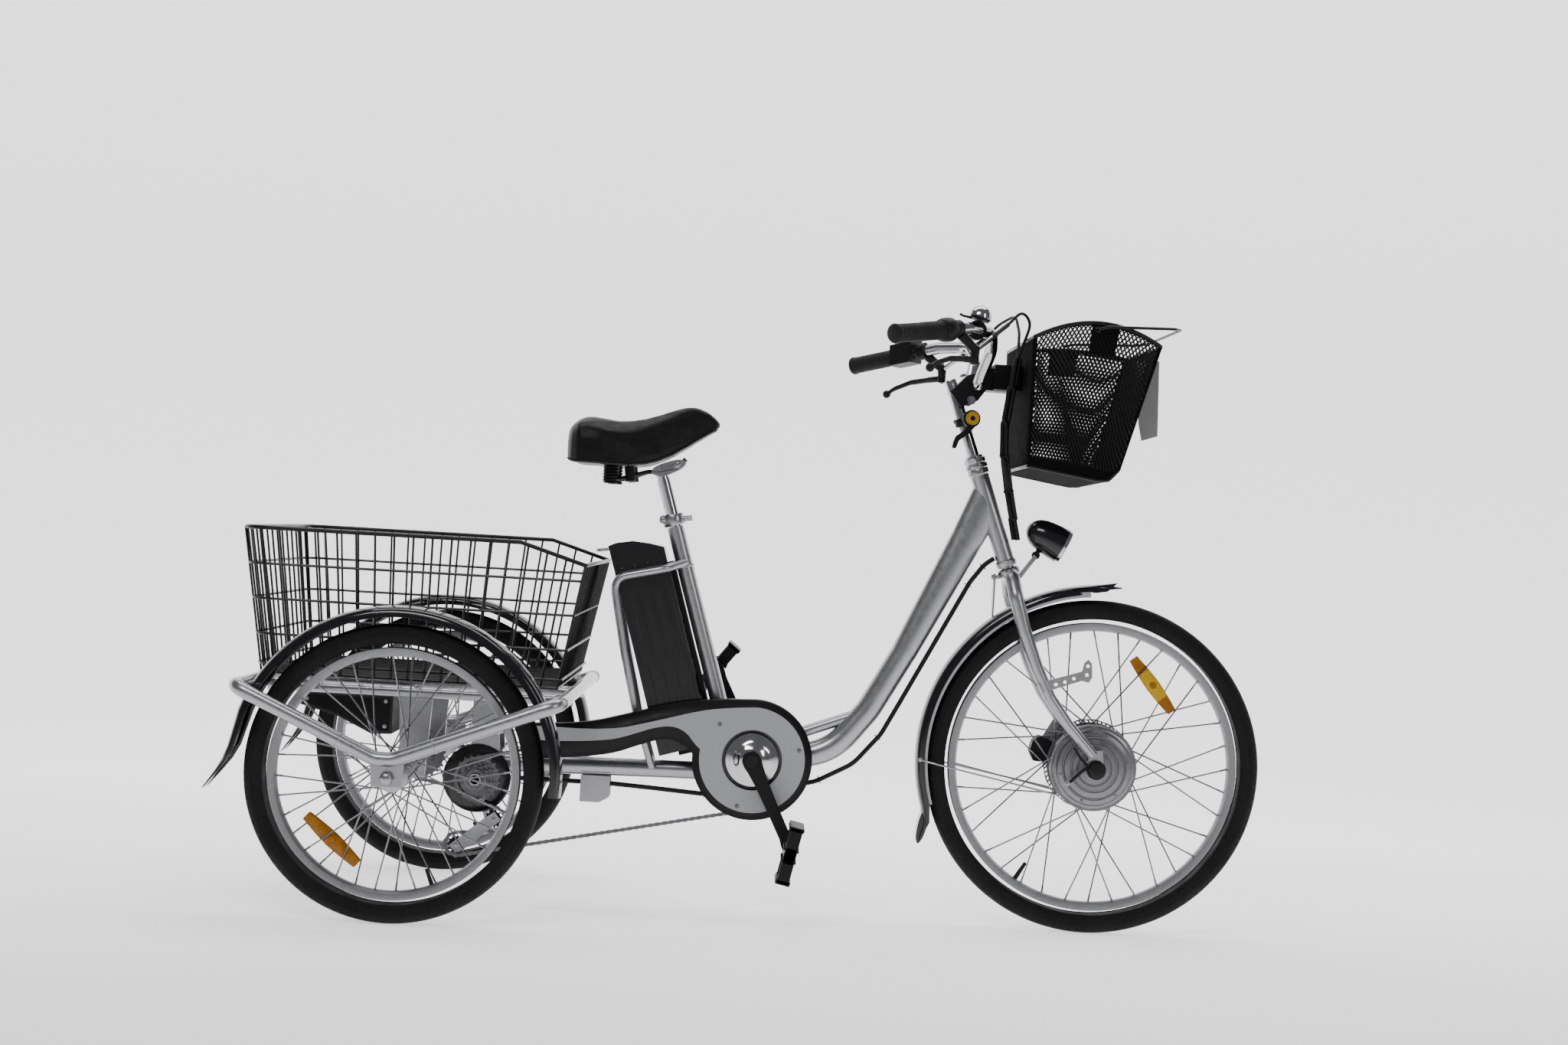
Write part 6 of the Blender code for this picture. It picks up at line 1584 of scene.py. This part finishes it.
def control_cables():
    """Three strands from the bars down the steering, with a branch to each brake lever."""
    shape = Shape(RUBBER)
    sleeve = [(1.040, -0.060, 1.040), (1.034, -0.052, 0.985), (1.027, -0.042, 0.925), (1.031, -0.030, 0.860)]
    sleeve += [(1.044, -0.018, 0.800), (1.0560, -0.010, 0.750), (1.0650, -0.0060, 0.712)]
    path = rounded(sleeve, 0.06, 8)
    for k in range(3):
        twist = []
        for i, point in enumerate(path):
            angle = 2 * math.pi * k / 3 + i * 0.16
            twist.append(point + (X * math.cos(angle) + Y * math.sin(angle)) * 0.0050)
        shape.tube(twist, 0.0042, 12)
    for share in (0.12, 0.45, 0.78):
        i = int(share * (len(path) - 1))
        shape.torus(path[i], path[i + 1] - path[i], 0.0092, 0.0011, 24, 6)
    start = ADJUSTER_TIP + Vector((0.0006, -0.0006, 0.0008))
    right = [mirrored(start, RIGHT), (1.036, -0.103, 1.121), (1.058, -0.082, 1.103), (1.042, -0.064, 1.045)]
    left = [start, (1.030, 0.098, 1.118), (1.046, 0.055, 1.128), (1.0460, 0.010, 1.122),
            (1.046, -0.030, 1.090)]
    for route in (right + [(1.036, -0.056, 1.010)], left + [(1.041, -0.056, 1.045), (1.036, -0.056, 1.010)]):
        shape.tube(rounded(route, 0.05, 10), 0.0027, 12)
    shape.done("control_cables", "steering", ["cable_bundle"], bars=True)


def frame_cables():
    long = Shape(RUBBER)
    route = [(1.0270, 0.0, 0.6760), (1.0100, 0.0, 0.6640), (0.985, 0.0, 0.6300), (0.868, 0.0, 0.400),
             (0.838, 0.0, 0.342), (0.790, 0.0, 0.285)]
    route += [(0.720, 0.0, 0.247), (0.620, 0.0, 0.233), (0.520, 0.0, 0.214), (0.420, 0.0, 0.220),
              (0.340, 0.0, 0.224)]
    path = rounded(route + [(0.160, 0.0, 0.2240)], 0.08, 8)
    long.tube([p - Y * 0.0026 for p in path], 0.0044, 14)
    long.tube([p + Y * 0.0044 - Z * 0.0006 for p in path], 0.0036, 12)
    for share in (0.10, 0.24, 0.38, 0.52, 0.66, 0.80):
        i = int(share * (len(path) - 1))
        long.torus(path[i], path[i + 1] - path[i], 0.0070, 0.0010, 20, 6)
    long.done("frame_cables", "frame", ["frame_cable"])


# ---------------------------------------------------------------- saddle
SADDLE = ((0.2400, 0.040, 0.8300, 0.862), (0.2420, 0.086, 0.8120, 0.872), (0.2480, 0.104, 0.8060, 0.8785),
          (0.2620, 0.1180, 0.8055, 0.8880), (0.2820, 0.1215, 0.8055, 0.8905),
          (0.3050, 0.1215, 0.8050, 0.8880),
          (0.3300, 0.1150, 0.8045, 0.8850), (0.3550, 0.1010, 0.8045, 0.8870),
          (0.3800, 0.0820, 0.8080, 0.8930),
          (0.4050, 0.0630, 0.8160, 0.9020), (0.4300, 0.0490, 0.8290, 0.9120),
          (0.4550, 0.0385, 0.8450, 0.9210),
          (0.4700, 0.0335, 0.8560, 0.9220), (0.4900, 0.0280, 0.8700, 0.9150),
          (0.5060, 0.0200, 0.8810, 0.9015), (0.5125, 0.0090, 0.8870, 0.8950))
SADDLE_SECTION = ((0.0, 0.965), (0.22, 0.985), (0.45, 1.0), (0.68, 0.975), (0.84, 0.90), (0.95, 0.76),
                  (1.0, 0.55), (1.0, 0.28), (0.985, 0.055), (0.968, 0.0), (0.90, 0.0), (0.50, 0.04))


PAD_VOXEL, PAD_SWELL, CLOTH_PRESSURE, CLOTH_FRAMES = 0.005, 0.0035, 4.0, 20


def swell(piece, voxel, cap):
    """Remeshes a closed pad evenly and fills it by a short cloth run, its underside pinned."""
    even = piece.modifiers.new("even", "REMESH")
    even.mode = "VOXEL"
    even.voxel_size = voxel
    mesh = bpy.data.meshes.new_from_object(piece.evaluated_get(bpy.context.evaluated_depsgraph_get()))
    piece.modifiers.clear()
    piece.data = mesh
    rest = [vertex.co.copy() for vertex in mesh.vertices]
    pinned = piece.vertex_groups.new(name="underside")
    pinned.add([vertex.index for vertex in mesh.vertices if vertex.normal.z < -0.6], 1.0, "REPLACE")
    cloth = piece.modifiers.new("cloth", "CLOTH")
    cloth.settings.use_pressure = True
    cloth.settings.uniform_pressure_force = CLOTH_PRESSURE
    cloth.settings.effector_weights.gravity = 0.0
    cloth.settings.vertex_group_mass = "underside"
    scene = bpy.context.scene
    for step in range(1, CLOTH_FRAMES + 1):
        scene.frame_set(step)
    filled = piece.evaluated_get(bpy.context.evaluated_depsgraph_get()).data
    moves = [vertex.co - start for vertex, start in zip(filled.vertices, rest)]
    piece.modifiers.remove(cloth)
    piece.vertex_groups.clear()
    scene.frame_set(1)
    for vertex, start, move in zip(mesh.vertices, rest, moves):
        vertex.co = start + move * min(1.0, cap / max(move.length, 1e-9))
    mesh.shade_smooth()
    smooth = piece.modifiers.new("smooth", "SUBSURF")
    smooth.levels = smooth.render_levels = 1


def saddle_cover():
    """A padded cover: rounded crown, upright side walls and a shallow channel, then filled."""
    shape = Shape(VINYL)
    rings = []
    for x, half, low, high in SADDLE:
        half, rise = half - 0.0020, high - low - 0.0020
        right = [Vector((x, -half * out, low + rise * up)) for out, up in SADDLE_SECTION]
        left = [Vector((x, half * out, low + rise * up)) for out, up in SADDLE_SECTION[:0:-1]]
        rings.append(right + [Vector((x, 0, low + rise * 0.05))] + left)
    shape.rings(rings)
    pad = shape.done("saddle_cover", "seat", ["saddle"], angle=80)
    swell(pad, PAD_VOXEL, PAD_SWELL)


def saddle_seams():
    seams = Shape(LEATHER)
    for side in (-1, 1):
        seam = []
        for x, half, low, high in SADDLE[1:-1]:
            seam.append(Vector((x, side * half * 0.982, low + (high - low) * 0.035)))
        seams.tube(rounded(seam, 0.05, 3), 0.0012, 8)
    seams.done("saddle_seam", "seat", [])


def seatpost():
    """The post, the clamp jaw, the rails and the coil springs under the saddle."""
    post = Shape(CHROME)
    post.tube([on_seat(0.540), on_seat(0.786)], 0.0127, 36)
    post.tube([on_seat(0.770), on_seat(0.806)], 0.0112, 28)
    post.use(BRIGHT_STEEL)
    jaw = [(0.391, 0.794), (0.412, 0.789), (0.450, 0.808), (0.455, 0.822), (0.436, 0.824), (0.394, 0.808)]
    post.plate(smooth_path(jaw + jaw[:1])[:-1], -0.0255, 0.0255)
    for side in (-1, 1):
        post.bolt((0.438, side * 0.0255, 0.813), Y * side, 0.0060, 0.0050)
        rail = [(0.452, 0.020, 0.8250), (0.436, 0.022, 0.8060), (0.405, 0.022, 0.7985),
                (0.385, 0.022, 0.7980)]
        rail += [(0.345, 0.050, 0.7840), (0.318, 0.055, 0.7790)]
        post.use(PLASTIC)
        post.tube(rounded([mirrored(p, side) for p in rail], 0.02), 0.0036, 14)
        coil = []
        for i in range(97):
            turn = 6 * 2 * math.pi * i / 96
            coil.append(Vector((0.320 + 0.0120 * math.cos(turn), side * 0.056 + 0.0120 * math.sin(turn),
                                0.7750 + 0.0330 * i / 96)))
        post.tube(coil, 0.0026, 8)
        post.tube([(0.356, side * 0.048, 0.7780), (0.352, side * 0.048, 0.8060)], 0.0095, 18)
        for z in (0.7735, 0.8080):
            post.turned([(0, -0.0012), (0.0125, -0.0012), (0.0125, 0.0012), (0, 0.0012)],
                        Vector((0.320, side * 0.056, z)), Z, 28)
        post.use(BRIGHT_STEEL)
    post.done("seatpost_and_springs", "seat", ["seatpost"])


# ---------------------------------------------------------------- assembly
main_frame()
seat_clamp()
carrier()
rear_basket()
controller()
battery()
battery_handle()
battery_dock()
chain_case_shell()
chain_case_cover()
chain("drive_chain_links", [(TENSION_WHEEL, 0.0210, 1), (BB, 0.0900, 1), (JACKSHAFT, 0.0370, 1),
                            (GUIDE_WHEEL, 0.0210, -1)], DRIVE_CHAIN_Y, "drive_chain")
chain("axle_chain_links", [(REAR_AXLE, 0.0445, 1), (JACKSHAFT, 0.0335, 1)], AXLE_CHAIN_Y, "axle_chain")
derailleur()
cranks()
pedal("right", RIGHT, 78.0)
pedal("left", LEFT, 52.0)
sprockets()
jackshaft()
for side_name, side_sign in SIDES:
    hoop(side_name, side_sign)
    rear_mudguard(side_name, side_sign)
    brake_bracket(side_name, side_sign)
    brake_lever(side_name, side_sign)
tyre("tyre_front", "front_wheel", FRONT_AXLE, FRONT_TYRE_R, FRONT_RIM_R)
tyre("tyre_rear_right", "drive_wheel", REAR_AXLE - Y * WHEEL_Y, REAR_TYRE_R, REAR_RIM_R)
tyre("tyre_rear_left", "free_wheel", REAR_AXLE + Y * WHEEL_Y, REAR_TYRE_R, REAR_RIM_R)
rear_wheel("right", RIGHT, "drive_wheel", ["rim_rear_right"])
rear_wheel("left", LEFT, "free_wheel", ["rim_rear_left"])
front_wheel()
hub_motor()
brake_rotor()
front_axle()
rear_axle()
fork()
headset()
front_mudguard()
caliper()
headlight_case()
headlight_glass()
handlebar()
stem()
grip("grip_left", LEFT, 0.090)
grip("grip_right", RIGHT, 0.068)
throttle_grip()
throttle_housing()
stem_clamp()
control_unit()
bell()
shifter_case()
shifter_lever()
front_basket_mesh()
front_basket_panels()
front_basket_rim()
basket_bail()
control_cables()
frame_cables()
saddle_cover()
saddle_seams()
seatpost()
